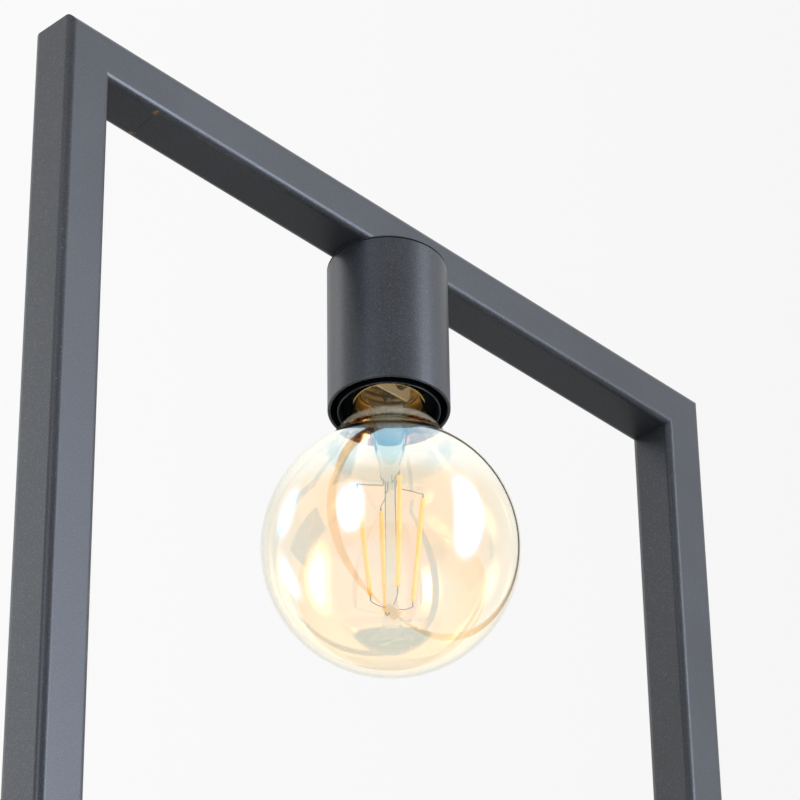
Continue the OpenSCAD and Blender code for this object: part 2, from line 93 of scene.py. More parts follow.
class Nodes:
    """A node tree that is filled step by step."""

    def __init__(self, tree: bpy.types.NodeTree) -> None:
        """Takes the tree."""
        self.tree = tree

    def feed(self, node: bpy.types.Node, key: str | int, value: object) -> None:
        """Links or sets one input.

        Args:
            node: The node that has the input.
            key: The input's name or index.
            value: An output socket, a number or a tuple.
        """
        if isinstance(value, Socket):
            self.tree.links.new(value, node.inputs[key])
        else:
            node.inputs[key].default_value = value

    def node(self, kind: str, *inputs: object, **settings: object) -> bpy.types.Node:
        """Adds a node.

        Args:
            kind: The node's type.
            *inputs: Values or sockets for its inputs in order; None leaves one as it is.
            **settings: Properties, in small letters, and inputs by their names.

        Returns:
            The node.
        """
        made = self.tree.nodes.new(kind)
        fed = [(i, value) for i, value in enumerate(inputs) if value is not None]
        for key, value in settings.items():
            if key.islower():
                setattr(made, key, value)
            else:
                fed.append((key, value))
        for key, value in fed:
            self.feed(made, key, value)
        return made

    def math(self, operation: str, *values: object) -> Socket:
        """Returns the result of a Math node."""
        return self.node("ShaderNodeMath", *values, operation=operation).outputs[0]

    def span(self, value: Socket, low: float, high: float, to_low: object = 0.0,
             to_high: object = 1.0) -> Socket:
        """Maps the values from low to high smoothly onto another span and clamps them to it."""
        return self.node("ShaderNodeMapRange", value, low, high, to_low, to_high,
                         interpolation_type="SMOOTHSTEP").outputs[0]

    def glass_paths(self) -> tuple[Socket, Socket]:
        """Sorts the light that has been in glass, which sees a brighter room than metal does.

        Returns:
            1 for light that went straight through glass, and 1 for light that was also mirrored.
        """
        path = self.node("ShaderNodeLightPath").outputs
        passed = self.math("GREATER_THAN", path["Transmission Depth"], 0.5)
        mirrored = self.math("GREATER_THAN", path["Glossy Depth"], 0.5)
        inside = self.math("MULTIPLY", passed, mirrored)
        return self.math("SUBTRACT", passed, inside), inside


class Surface(Nodes):
    """The node tree of a new material."""

    def __init__(self, name: str) -> None:
        """Starts the material with an empty tree.

        Args:
            name: The material's name.
        """
        self.material = bpy.data.materials.new(name)
        self.material.use_nodes = True
        super().__init__(self.material.node_tree)
        self.tree.nodes.clear()

    def show(self, shader: Socket) -> None:
        """Ends the tree with the shader that shows."""
        self.node("ShaderNodeOutputMaterial", shader)

    def mixed(self, share: object, first: bpy.types.Node, second: bpy.types.Node) -> bpy.types.Node:
        """Mixes the shaders of two nodes, 0 for the first and 1 for the second."""
        return self.node("ShaderNodeMixShader", share, first.outputs[0], second.outputs[0])


class Shader(Surface):
    """A Principled material, made step by step on object coordinates."""

    def __init__(self, name: str) -> None:
        """Starts the material with its shader.

        Args:
            name: The material's name.
        """
        super().__init__(name)
        self.surface = self.node("ShaderNodeBsdfPrincipled")
        self.show(self.surface.outputs[0])
        self.place = self.node("ShaderNodeTexCoord").outputs["Object"]

    def set(self, **inputs: object) -> None:
        """Sets sockets of the Principled shader; an underscore in a name stands for a space."""
        for key, value in inputs.items():
            self.feed(self.surface, key.replace("_", " ").title().replace("Ior", "IOR"), value)

    def noise(self, scale: float, detail: float = 2.0, rough: float = 0.5, place: Socket | None = None
              ) -> Socket:
        """Returns noise of so many cells for each metre, about 0.5 in the mean."""
        return self.node("ShaderNodeTexNoise", Vector=place or self.place, Scale=scale, Detail=detail,
                         Roughness=rough).outputs["Fac"]

    def stretched(self, scale: Point3) -> Socket:
        """Returns object coordinates scaled by a different number along each axis."""
        return self.node("ShaderNodeMapping", Vector=self.place, Scale=scale).outputs[0]

    def mix(self, share: Socket, low: object, high: object) -> Socket:
        """Mixes two colours.

        Args:
            share: 0 for the first, 1 for the second.
            low: First colour, or its socket.
            high: Second colour, or its socket.

        Returns:
            The mixed colour's socket.
        """
        node = self.node("ShaderNodeMix", share, data_type="RGBA")
        for i, colour in ((6, low), (7, high)):
            self.feed(node, i, colour if isinstance(colour, Socket) else (*colour, 1.0))
        return node.outputs[2]

    def bump(self, height: Socket, strength: float, distance: float) -> Socket:
        """Returns a normal that follows a height of 0 to 1, where 1 is the given distance in metres."""
        return self.node("ShaderNodeBump", Height=height, Strength=strength, Distance=distance).outputs[0]

    def near(self, point: Point3, reach: float) -> Socket:
        """Returns 1 at a point, falling to 0 at the given reach from it."""
        away = self.node("ShaderNodeVectorMath", self.place, point, operation="DISTANCE").outputs["Value"]
        return self.span(away, 0.2 * reach, reach, 1.0, 0.0)

    def axes(self) -> tuple[Socket, Socket, Socket]:
        """Returns the object coordinates' X, Y and Z."""
        return tuple(self.node("ShaderNodeSeparateXYZ", self.place).outputs)

    def dappled(self, cloud: Socket, low: Colour, high: Colour, start: float = 0.3) -> Socket:
        """Mixes two shades by a broad noise, from where it passes the start."""
        return self.mix(self.span(cloud, start, 0.7), low, high)


def shade(colour: Colour, share: float) -> Colour:
    """Returns a colour times a number."""
    return tuple(share * c for c in colour)


@dataclass(frozen=True)
class Finish:
    """A finish, made into a material once and then shared."""

    name: str
    slot: str

    def paint(self, shader: Shader) -> None:
        """Fills the shader's nodes; each kind of finish has its own."""
        raise NotImplementedError

    def material(self) -> bpy.types.Material:
        """Makes the finish's material when it is first asked for.

        Returns:
            The material.
        """
        found = bpy.data.materials.get(self.name)
        if found is None:
            shader = Shader(self.name)
            self.paint(shader)
            found = shader.material
        return found


@dataclass(frozen=True)
class Seam:
    """Hairline butt seam across the underside of the bar, with a rust spot at each end."""

    x: float = -127.2 * MM
    slant: float = 0.126
    half_width: float = 0.25 * MM
    level: float = 1480.15 * MM
    wobble: float = 0.35 * MM
    dark: Colour = (0.004, 0.004, 0.004)
    rust: Colour = (0.27, 0.115, 0.035)
    rust_at: tuple[Point3, ...] = ((-0.12625, 0.0073, 1.480), (-0.12813, -0.0075, 1.480))
    rust_reach: float = 1.9 * MM


@dataclass(frozen=True)
class PowderCoat(Finish):
    """Black powder coat with a fine grain, a few bright flecks and soft uneven gloss."""

    colour: Colour = (0.0165, 0.0172, 0.0190)
    gloss: float = 0.40
    fleck: Colour = (0.12, 0.125, 0.14)
    fleck_share: float = 0.42
    seam: Seam | None = None
    nicks: tuple[Point3, ...] = ()
    nick: Colour = (0.30, 0.30, 0.31)
    nick_reach: float = 0.9 * MM

    def paint(self, shader: Shader) -> None:
        """Grain from fine noise, flecks from its peaks, and the seam where there is one.

        Args:
            shader: The shader to fill.
        """
        grain = shader.noise(1500.0, 2.0, 0.6)
        cloud = shader.noise(14.0, 3.0, 0.55)
        peaks = shader.span(shader.noise(2600.0, 0.0), 0.56, 0.80)
        colour = shader.dappled(cloud, shade(self.colour, 0.82), shade(self.colour, 1.18))
        colour = shader.mix(shader.math("MULTIPLY", peaks, self.fleck_share), colour, self.fleck)
        for point in self.nicks:
            colour = shader.mix(shader.near(point, self.nick_reach), colour, self.nick)
        if self.seam:
            colour = self.seamed(shader, colour)
        rough = shader.span(cloud, 0.3, 0.7, self.gloss - 0.03, self.gloss + 0.03)
        shader.set(base_color=colour, roughness=rough, normal=shader.bump(grain, 0.35, 0.06 * MM))

    def seamed(self, shader: Shader, colour: Socket) -> Socket:
        """Draws the seam's dark line and its rust over a colour.

        Args:
            shader: The shader that is being filled.
            colour: The colour's socket so far.

        Returns:
            The colour with the seam.
        """
        seam = self.seam
        x, y, z = shader.axes()
        off = shader.math("SUBTRACT", x, seam.x)
        off = shader.math("SUBTRACT", off, shader.math("MULTIPLY", y, seam.slant))
        wobble = shader.math("MULTIPLY", shader.math("SUBTRACT", shader.noise(220.0), 0.5), seam.wobble)
        away = shader.math("ABSOLUTE", shader.math("ADD", off, wobble))
        line = shader.span(away, 0.5 * seam.half_width, 1.4 * seam.half_width, 1.0, 0.0)
        below = shader.span(z, seam.level, seam.level + 0.6 * MM, 1.0, 0.0)
        colour = shader.mix(shader.math("MULTIPLY", line, below), colour, seam.dark)
        ragged = shader.span(shader.noise(900.0, 3.0, 0.7), 0.42, 0.58)
        for point in seam.rust_at:
            spot = shader.math("MULTIPLY", shader.near(point, seam.rust_reach), ragged)
            colour = shader.mix(spot, colour, seam.rust)
        return colour


@dataclass(frozen=True)
class Metal(Finish):
    """Bare or plated metal with fine drawn lines and a little tarnish."""

    colour: Colour = (0.6, 0.6, 0.6)
    gloss: float = 0.3
    lines: Point3 = (900.0, 900.0, 60.0)

    def paint(self, shader: Shader) -> None:
        """Lines from stretched noise, and tarnish from a broad one.

        Args:
            shader: The shader to fill.
        """
        lines = shader.noise(1.0, 3.0, 0.6, shader.stretched(self.lines))
        cloud = shader.noise(90.0, 3.0)
        colour = shader.dappled(cloud, self.colour, shade(self.colour, 0.72), 0.35)
        rough = shader.span(lines, 0.3, 0.7, self.gloss - 0.05, self.gloss + 0.07)
        shader.set(base_color=colour, roughness=rough, metallic=1.0,
                   normal=shader.bump(lines, 0.12, 0.02 * MM))


@dataclass(frozen=True)
class Moulded(Finish):
    """Moulded plastic, rubber or ceramic with a faint grain."""

    colour: Colour = (0.02, 0.02, 0.02)
    gloss: float = 0.4
    shine: float = 0.5
    grain: float = 0.2

    def paint(self, shader: Shader) -> None:
        """Grain from fine noise, and a slight unevenness of colour.

        Args:
            shader: The shader to fill.
        """
        grain = shader.noise(1400.0)
        cloud = shader.noise(60.0)
        colour = shader.dappled(cloud, self.colour, shade(self.colour, 0.85))
        rough = shader.span(cloud, 0.3, 0.7, self.gloss - 0.04, self.gloss + 0.04)
        shader.set(base_color=colour, roughness=rough, specular_ior_level=self.shine,
                   normal=shader.bump(grain, self.grain, 0.03 * MM))


@dataclass(frozen=True)
class Board(Finish):
    """Pale circuit board whose parts stand off both faces in black, lit by a painted glow."""

    colour: Colour = (0.78, 0.74, 0.58)
    part: Colour = (0.02, 0.02, 0.022)
    copper: Colour = (0.55, 0.42, 0.16)
    copper_share: float = 0.35
    half_thickness: float = 0.55 * MM
    painted_glow: float = 0.35

    def paint(self, shader: Shader) -> None:
        """Black where the surface stands off the board, fine copper lines under the pale mask, and a painted
        glow.

        Args:
            shader: The shader to fill.
        """
        off = shader.math("ABSOLUTE", shader.axes()[1])
        lines = shader.span(shader.noise(1.0, 1.0, 0.5, shader.stretched((900.0, 1.0, 2600.0))), 0.48, 0.56)
        mask = shader.mix(shader.math("MULTIPLY", lines, self.copper_share), self.colour, self.copper)
        raised = shader.span(off, self.half_thickness, self.half_thickness + 0.05 * MM)
        colour = shader.mix(raised, mask, self.part)
        # The emission is painted light: the board is no lamp, and its glow stands in for light that hardly
        # reaches it inside the cap.
        shader.set(base_color=colour, roughness=0.4, emission_color=colour, emission_strength=self.painted_glow,
                   normal=shader.bump(lines, 0.2, 0.03 * MM))


@dataclass(frozen=True)
class Glass(Finish):
    """Blown glass: clear, tinted by what coats it, with faint waves."""

    tint: Colour = (1.0, 1.0, 1.0)
    wave: float = 0.0
    film: float = 0.0
    film_ior: float = 2.3
    bend: float = 1.5
    painted_reflection_milk: float = 0.0
    painted_reflection_band: tuple[float, ...] = ()

    def paint(self, shader: Shader) -> None:
        """Transmission with a tint, a thin bright film, and waves from a broad noise, where there are any.

        Args:
            shader: The shader to fill.
        """
        # Milky glass is a painted reflection here: it lightens the glass to stand in for bright reflections,
        # only within the band where one is given.
        clear: object = 1.0 - self.painted_reflection_milk
        if self.painted_reflection_band:
            low, full_from, full_to, high = self.painted_reflection_band
            z = shader.axes()[2]
            clear = shader.math("MAXIMUM", shader.span(z, low, full_from, 1.0, clear),
                                shader.span(z, full_to, high, clear, 1.0))
        shader.set(base_color=(*self.tint, 1.0), roughness=0.0, transmission_weight=clear, ior=self.bend)
        if self.film:
            shader.set(thin_film_thickness=self.film, thin_film_ior=self.film_ior)
        if self.wave:
            shader.set(normal=shader.bump(shader.noise(35.0, 1.0), self.wave, 0.4 * MM))


@dataclass(frozen=True)
class Phosphor(Finish):
    """Yellow phosphor silicone over a row of chips that show through as darker beads, lit by a painted glow.
    """

    colour: Colour = (1.0, 0.66, 0.13)
    bead: Colour = (1.0, 0.55, 0.07)
    bead_share: float = 0.5
    bead_turns: float = 4200.0
    painted_glow: float = 0.42

    def paint(self, shader: Shader) -> None:
        """Beads from a wave down the lamp's height, and a painted glow.

        Args:
            shader: The shader to fill.
        """
        z = shader.axes()[2]
        beads = shader.span(shader.math("SINE", shader.math("MULTIPLY", z, self.bead_turns)), 0.2, 0.9)
        colour = shader.mix(shader.math("MULTIPLY", beads, self.bead_share), self.colour, self.bead)
        # The emission is painted light: the bulb is off, and the glow stands in for the room's light on the
        # filaments.
        shader.set(base_color=colour, roughness=0.42, emission_color=colour, emission_strength=self.painted_glow,
                   normal=shader.bump(shader.noise(1600.0), 0.2, 0.05 * MM))


NICKS = tuple((-0.1722, -0.0096, z) for z in (1.4028, 1.3948, 1.3396))
COAT = PowderCoat("powder coat", "powder_coat")
COAT_NICKED = PowderCoat("powder coat, nicked", "powder_coat", nicks=NICKS)
COAT_SEAMED = PowderCoat("powder coat with a seam", "powder_coat", seam=Seam())
STEEL = Metal("rolled steel", "steel", (0.40, 0.40, 0.41), 0.42)
ZINC = Metal("zinc plate", "zinc", (0.60, 0.61, 0.64), 0.34)
BRASS = Metal("stamped brass", "brass", (0.72, 0.52, 0.22), 0.28)
NICKEL = Metal("warm nickel plate", "cap_nickel", (0.86, 0.62, 0.24), 0.30)
WIRE = Metal("bare wire", "wire", (0.50, 0.36, 0.24), 0.40)
RUBBER = Moulded("black rubber", "black_rubber", (0.022, 0.022, 0.022), 0.72, grain=0.4)
# Darker than real black plastic: painted shade that keeps the inside of the lampholder's mouth black.
PLASTIC = Moulded("black plastic", "black_plastic", (0.003, 0.003, 0.003), 0.8, shine=0.08)
# A lighter, glossier copy of the black plastic: its lighter colour is a painted highlight on the mouth's
# outer corner.
PLASTIC_PAINTED_HIGHLIGHT = Moulded("black plastic, glossy edge with painted highlight", "black_plastic", (0.03, 0.03, 0.03), 0.3)
CERAMIC = Moulded("white insulator", "white_insulator", (0.70, 0.69, 0.65), 0.55)
SHEATH = Moulded("lead sheath", "lead_sheath", (0.02, 0.02, 0.021), 0.5)
CORE = Moulded("core sheath", "core_sheath", (0.20, 0.09, 0.045), 0.45)
BOARD = Board("circuit board", "circuit_board")
# The amber globe is milky only in a band at the flare, a painted reflection of the bright crescents there.
AMBER = Glass("amber glass", "amber_glass", tint=(0.965, 0.850, 0.60), wave=0.05, film=152.0, painted_reflection_milk=0.25,
              painted_reflection_band=(1397 * MM, 1399 * MM, 1402 * MM, 1405 * MM))
AMBER_INSIDE = Glass("amber glass, inside", "amber_glass")
# The stem's slight milkiness is a painted reflection that lightens it against the bright room.
CLEAR = Glass("clear glass", "clear_glass", tint=(0.99, 1.0, 0.995), bend=1.05, painted_reflection_milk=0.1)
PHOSPHOR = Phosphor("phosphor silicone", "phosphor")


def arc(centre: Point2, radius: float, start: float, end: float, steps: int) -> Profile:
    """Points along an arc between two angles in degrees, one point more than there are steps."""
    turns = [math.radians(start + (end - start) * i / steps) for i in range(steps + 1)]
    return [(centre[0] + radius * math.cos(t), centre[1] + radius * math.sin(t)) for t in turns]


def rod(radius: float, low: float, high: float) -> Profile:
    """Half outline of a plain round bar."""
    return [(0.0, low), (radius, low), (radius, high), (0.0, high)]


def supported(outline: Sequence[Point2], gap: float = 0.2 * MM, closed: bool = False) -> Profile:
    """Adds a point near each end of every long step, so that flats shade flat beside a curve.

    Args:
        outline: The points.
        gap: Distance of an added point from the end of its step.
        closed: True if the last point leads back to the first.

    Returns:
        The points with the added ones.
    """
    made: Profile = []
    count = len(outline)
    for i, a in enumerate(outline):
        made.append(a)
        if i == count - 1 and not closed:
            break
        b = outline[(i + 1) % count]
        length = math.dist(a, b)
        if length > 6 * gap:
            share = gap / length
            made += [tuple(p + (q - p) * s for p, q in zip(a, b)) for s in (share, 1 - share)]
    return made


def rounded_rectangle(width: float, depth: float, radius: float, steps: int = 10) -> Profile:
    """Outline of a rectangle with round corners about the origin, with support points.

    Args:
        width: Size along the first axis.
        depth: Size along the second.
        radius: Corner radius.
        steps: Steps in each corner.

    Returns:
        The outline, anticlockwise.
    """
    u, v = width / 2 - radius, depth / 2 - radius
    corners = ((u, v, 0), (-u, v, 90), (-u, -v, 180), (u, -v, 270))
    outline = [p for x, y, a in corners for p in arc((x, y), radius, a, a + 90, steps)]
    return supported(outline, closed=True)


class Form:
    """Vertices and faces of one mesh."""

    def __init__(self) -> None:
        """Starts with nothing in it."""
        self.points: list[Point3] = []
        self.faces: list[tuple[int, ...]] = []

    def loops(self, loops: Sequence[Sequence[Point3]], ends: bool = True, around: bool = False) -> "Form":
        """Joins closed loops of the same count of points with quads.

        Args:
            loops: The loops in order. A loop whose points all agree becomes a pole when doubles are merged.
            ends: True to close the first and last loop with a face.
            around: True to join the last loop to the first.

        Returns:
            This form.
        """
        start, count = len(self.points), len(loops[0])
        for loop in loops:
            self.points += [tuple(p) for p in loop]
        rows = len(loops) if around else len(loops) - 1
        for k in range(rows):
            a, b = start + k * count, start + (k + 1) % len(loops) * count
            self.faces += [(a + i, a + (i + 1) % count, b + (i + 1) % count, b + i) for i in range(count)]
        if ends and not around:
            self.faces.append(tuple(range(start, start + count)))
            last = start + (len(loops) - 1) * count
            self.faces.append(tuple(range(last, last + count)))
        return self

    def turned(self, profile: Sequence[Point2], sides: int = 96, around: bool = False,
               place: Callable[[float, float, float], Point3] | None = None) -> "Form":
        """Turns a profile of radius and height about an axis.

        Args:
            profile: Pairs of radius and height. It starts and ends on the axis, unless it closes on itself.
            sides: Steps round the axis.
            around: True if the profile closes on itself.
            place: Puts a point of the turned form elsewhere; the Z axis through the origin if none.

        Returns:
            This form.
        """
        put = place or (lambda x, y, z: (x, y, z))
        turns = [math.tau * i / sides for i in range(sides)]
        rows = [[put(r * math.cos(t), r * math.sin(t), z) for t in turns] for r, z in profile]
        return self.loops(rows, ends=False, around=around)

    def swept(self, path: Sequence[Point3], radius: float, sides: int = 16) -> "Form":
        """Sweeps a circle along a path.

        Args:
            path: Points of the centre line.
            radius: The circle's radius.
            sides: Steps round it.

        Returns:
            This form.
        """
        line = [Vector(p) for p in path]
        last = len(line) - 1
        ways = [(line[min(i + 1, last)] - line[max(i - 1, 0)]).normalized() for i in range(len(line))]
        side = ways[0].orthogonal().normalized()
        rows = []
        for point, way in zip(line, ways):
            side = (side - way * side.dot(way)).normalized()
            other = way.cross(side)
            turns = [math.tau * i / sides for i in range(sides)]
            rows.append([tuple(point + radius * (math.cos(t) * side + math.sin(t) * other)) for t in turns])
        return self.loops(rows)

    def piece(self, name: str, finish: Finish) -> Thing:
        """Makes the object: doubles merged, faces outwards, smooth but for its creases.

        Args:
            name: The object's name.
            finish: What it is finished in.

        Returns:
            The object, at the origin.
        """
        work = bmesh.new()
        corners = [work.verts.new(p) for p in self.points]
        for face in self.faces:
            work.faces.new([corners[i] for i in face])
        bmesh.ops.remove_doubles(work, verts=work.verts, dist=1e-7)
        bmesh.ops.dissolve_degenerate(work, edges=work.edges, dist=1e-8)
        bmesh.ops.recalc_face_normals(work, faces=work.faces)
        mesh = bpy.data.meshes.new(name)
        work.to_mesh(mesh)
        work.free()
        mesh.shade_smooth()
        mesh.set_sharp_from_angle(angle=math.radians(CREASE))
        mesh.materials.append(finish.material())
        return linked(name, mesh)


def settled(made: Thing, crease: float | None = CREASE) -> Thing:
    """Turns what the modifiers make into a plain mesh and removes them.

    Args:
        made: The object.
        crease: Angle in degrees past which an edge stays sharp, or none to leave the shading.

    Returns:
        The same object.
    """
    graph = bpy.context.evaluated_depsgraph_get()
    mesh = bpy.data.meshes.new_from_object(made.evaluated_get(graph), preserve_all_data_layers=True,
                                           depsgraph=graph)
    made.modifiers.clear()
    made.data = mesh
    if crease is not None:
        mesh.shade_smooth()
        mesh.set_sharp_from_angle(angle=math.radians(crease))
    return made


def cut_by(made: Thing, *cutters: Thing) -> Thing:
    """Cuts other forms out of an object and deletes them.

    Args:
        made: The object that is cut.
        *cutters: The forms that are taken out.

    Returns:
        The cut object, as a plain mesh.
    """
    for cutter in cutters:
        step = made.modifiers.new("cut", "BOOLEAN")
        step.operation, step.solver, step.object = "DIFFERENCE", "EXACT", cutter
    settled(made)
    for cutter in cutters:
        bpy.data.objects.remove(cutter)
    return made


class Tree(Nodes):
    """A Geometry Nodes tree with named inputs."""

    def __init__(self, name: str, sizes: dict[str, float | int]) -> None:
        """Starts the tree.

        Args:
            name: The tree's name.
            sizes: Named inputs and their usual values; a whole number makes an integer input.
        """
        super().__init__(bpy.data.node_groups.new(name, "GeometryNodeTree"))
        face = self.tree.interface
        for way in ("OUTPUT", "INPUT"):
            face.new_socket(name="Geometry", in_out=way, socket_type="NodeSocketGeometry")
        self.keys: dict[str, str] = {}
        for key, value in (*sizes.items(), ("Finish", None)):
            kind = {int: "Int", float: "Float"}.get(type(value), "Material")
            socket = face.new_socket(name=key, in_out="INPUT", socket_type="NodeSocket" + kind)
            if value is not None:
                socket.default_value = value
            self.keys[key] = socket.identifier
        self.given = self.node("NodeGroupInput").outputs

    def close(self, geometry: Socket) -> "Tree":
        """Ends the tree with real geometry in its finish.

        Args:
            geometry: What the tree has made.

        Returns:
            This tree.
        """
        real = self.node("GeometryNodeRealizeInstances", geometry).outputs[0]
        dressed = self.node("GeometryNodeSetMaterial", real, Material=self.given["Finish"])
        self.node("NodeGroupOutput", dressed.outputs[0])
        return self

    def copied(self, points: Socket, **inputs: object) -> "Tree":
        """Ends the tree with a copy of the given form at each point, and returns the tree."""
        copies = self.node("GeometryNodeInstanceOnPoints", points, Instance=self.given["Geometry"], **inputs)
        return self.close(copies.outputs[0])

    def run(self, made: Thing, finish: Finish, crease: float | None = CREASE,
            **sizes: float | int) -> Thing:
        """Runs the tree on an object and leaves a plain mesh.

        Args:
            made: The object, whose own mesh the tree may read.
            finish: The finish of what it makes.
            crease: Angle past which an edge stays sharp, or none to leave the shading.
            **sizes: Values for named inputs, with underscores for spaces.

        Returns:
            The same object.
        """
        step = made.modifiers.new("tree", "NODES")
        step.node_group = self.tree
        for key, value in sizes.items():
            step[self.keys[key.replace("_", " ")]] = value
        step[self.keys["Finish"]] = finish.material()
        settled(made, crease)
        made.data.materials.clear()
        made.data.materials.append(finish.material())
        for face in made.data.polygons:
            face.material_index = 0
        return made


def ring_tree() -> Tree:
    """Makes the tree that repeats a form round the lamp's upright axis.

    Returns:
        The node tree.
    """
    tree = Tree("ring of copies", {"Count": 4, "First Turn": 0.0})
    count, still = tree.given["Count"], (0.0, 0.0, 0.0)
    points = tree.node("GeometryNodeMeshLine", count, None, still, still).outputs[0]
    share = tree.math("DIVIDE", tree.node("GeometryNodeInputIndex").outputs[0], count)
    turn = tree.math("ADD", tree.math("MULTIPLY", share, math.tau), tree.given["First Turn"])
    return tree.copied(points, Rotation=tree.node("ShaderNodeCombineXYZ", 0.0, 0.0, turn).outputs[0])


def grid_tree() -> Tree:
    """Makes the tree that repeats a form at the points of a flat grid.

    Returns:
        The node tree.
    """
    sizes = {"Width": 1.0, "Depth": 1.0, "Across": 2, "Deep": 2}
    tree = Tree("grid of copies", sizes)
    return tree.copied(tree.node("GeometryNodeMeshGrid", *(tree.given[key] for key in sizes)).outputs[0])


def thread_tree() -> Tree:
    """Makes the tree of a knuckle thread: a sleeve whose radius is a cosine of the turn and the height.

    Returns:
        The node tree.
    """
    tree = Tree("knuckle thread", {"Mean Radius": 12.7 * MM, "Depth": THREAD_DEPTH, "Pitch": THREAD_PITCH,
                                   "Height": 15 * MM, "Low End": 0.0, "Sides": 96, "Rows": 64})
    given, work = tree.given, tree.math
    count = work("ADD", given["Sides"], 1.0)
    grid = tree.node("GeometryNodeMeshGrid", 1.0, given["Height"], count, given["Rows"]).outputs[0]
    spot = tree.node("ShaderNodeSeparateXYZ", tree.node("GeometryNodeInputPosition").outputs[0]).outputs
    turn = work("MULTIPLY", spot[0], math.tau)
    high = work("ADD", work("ADD", spot[1], work("DIVIDE", given["Height"], 2.0)), given["Low End"])
    climb = work("DIVIDE", work("MULTIPLY", high, math.tau), given["Pitch"])
    swell = work("MULTIPLY", work("COSINE", work("SUBTRACT", turn, climb)), given["Depth"])
    radius = work("ADD", given["Mean Radius"], work("DIVIDE", swell, 2.0))
    x, y = (work("MULTIPLY", radius, work(way, turn)) for way in ("COSINE", "SINE"))
    place = tree.node("ShaderNodeCombineXYZ", x, y, high).outputs[0]
    sleeve = tree.node("GeometryNodeSetPosition", grid, None, place).outputs[0]
    return tree.close(tree.node("GeometryNodeMergeByDistance", sleeve).outputs[0])


def threaded(tree: Tree, name: str, finish: Finish, sheet: float, outwards: bool, **sizes: float | int
             ) -> Thing:
    """Makes a threaded sleeve about the upright axis and gives it its wall.

    Args:
        tree: The thread's tree.
        name: The piece's name.
        finish: Its finish.
        sheet: Thickness of the wall.
        outwards: True if the wall grows away from the axis.
        **sizes: The tree's inputs.

    Returns:
        The sleeve, a closed wall.
    """
    made = tree.run(linked(name, bpy.data.meshes.new(name)), finish, crease=None, **sizes)
    work = bmesh.new()
    work.from_mesh(made.data)
    bmesh.ops.recalc_face_normals(work, faces=work.faces)
    work.faces.ensure_lookup_table()
    face = work.faces[0]
    centre = face.calc_center_median()
    if face.normal.dot(Vector((centre.x, centre.y, 0.0))) < 0:
        bmesh.ops.reverse_faces(work, faces=work.faces)
    work.to_mesh(made.data)
    work.free()
    step = made.modifiers.new("wall", "SOLIDIFY")
    step.thickness, step.offset = sheet, 1.0 if outwards else -1.0
    return settled(made, THREAD_CREASE)


def joined(made: Thing, other: Thing) -> Thing:
    """Joins another object of the same finish into one and deletes it.

    Args:
        made: The object that takes the other in.
        other: The object that goes into it.

    Returns:
        The joined object.
    """
    work = bmesh.new()
    for part in (made, other):
        work.from_mesh(part.data)
    work.to_mesh(made.data)
    work.free()
    bpy.data.objects.remove(other)
    made.data.set_sharp_from_angle(angle=math.radians(CREASE))
    return made


class Assembly:
    """A group of pieces that are made, handed to their body and reported."""

    body = Body.FRAME
    ring: Tree | None = None
    grid: Tree | None = None
    thread: Tree | None = None

    def hand_over(self, made: Thing, finish: Finish, node: str) -> None:
        """Lets a piece ride on its body and stand for a node.

        Args:
            made: The piece.
            finish: Its finish; not used.
            node: The node that it stands for.
        """
        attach(made, self.body.value)
        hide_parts(node)
        LOG.info("%s: %d faces, on %s", made.name, len(made.data.polygons), self.body.value)

    def dress(self, finish: Finish, *nodes: str) -> None:
        """Gives solids that stay as they are their finish.

        Args:
            finish: The finish.
            *nodes: The solids' names.
        """
        for name in nodes:
            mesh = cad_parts[name].data
            mesh.materials.clear()
            mesh.materials.append(finish.material())
            LOG.info("%s: kept, in %s", name, finish.name)

    @staticmethod
    def corners(node: str) -> tuple[Vector, Vector]:
        """Lowest and highest corner of a solid."""
        low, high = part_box(node)
        return Vector(low), Vector(high)

    def span_z(self, node: str) -> tuple[float, float]:
        """Lowest and highest point of a solid."""
        low, high = self.corners(node)
        return low.z, high.z


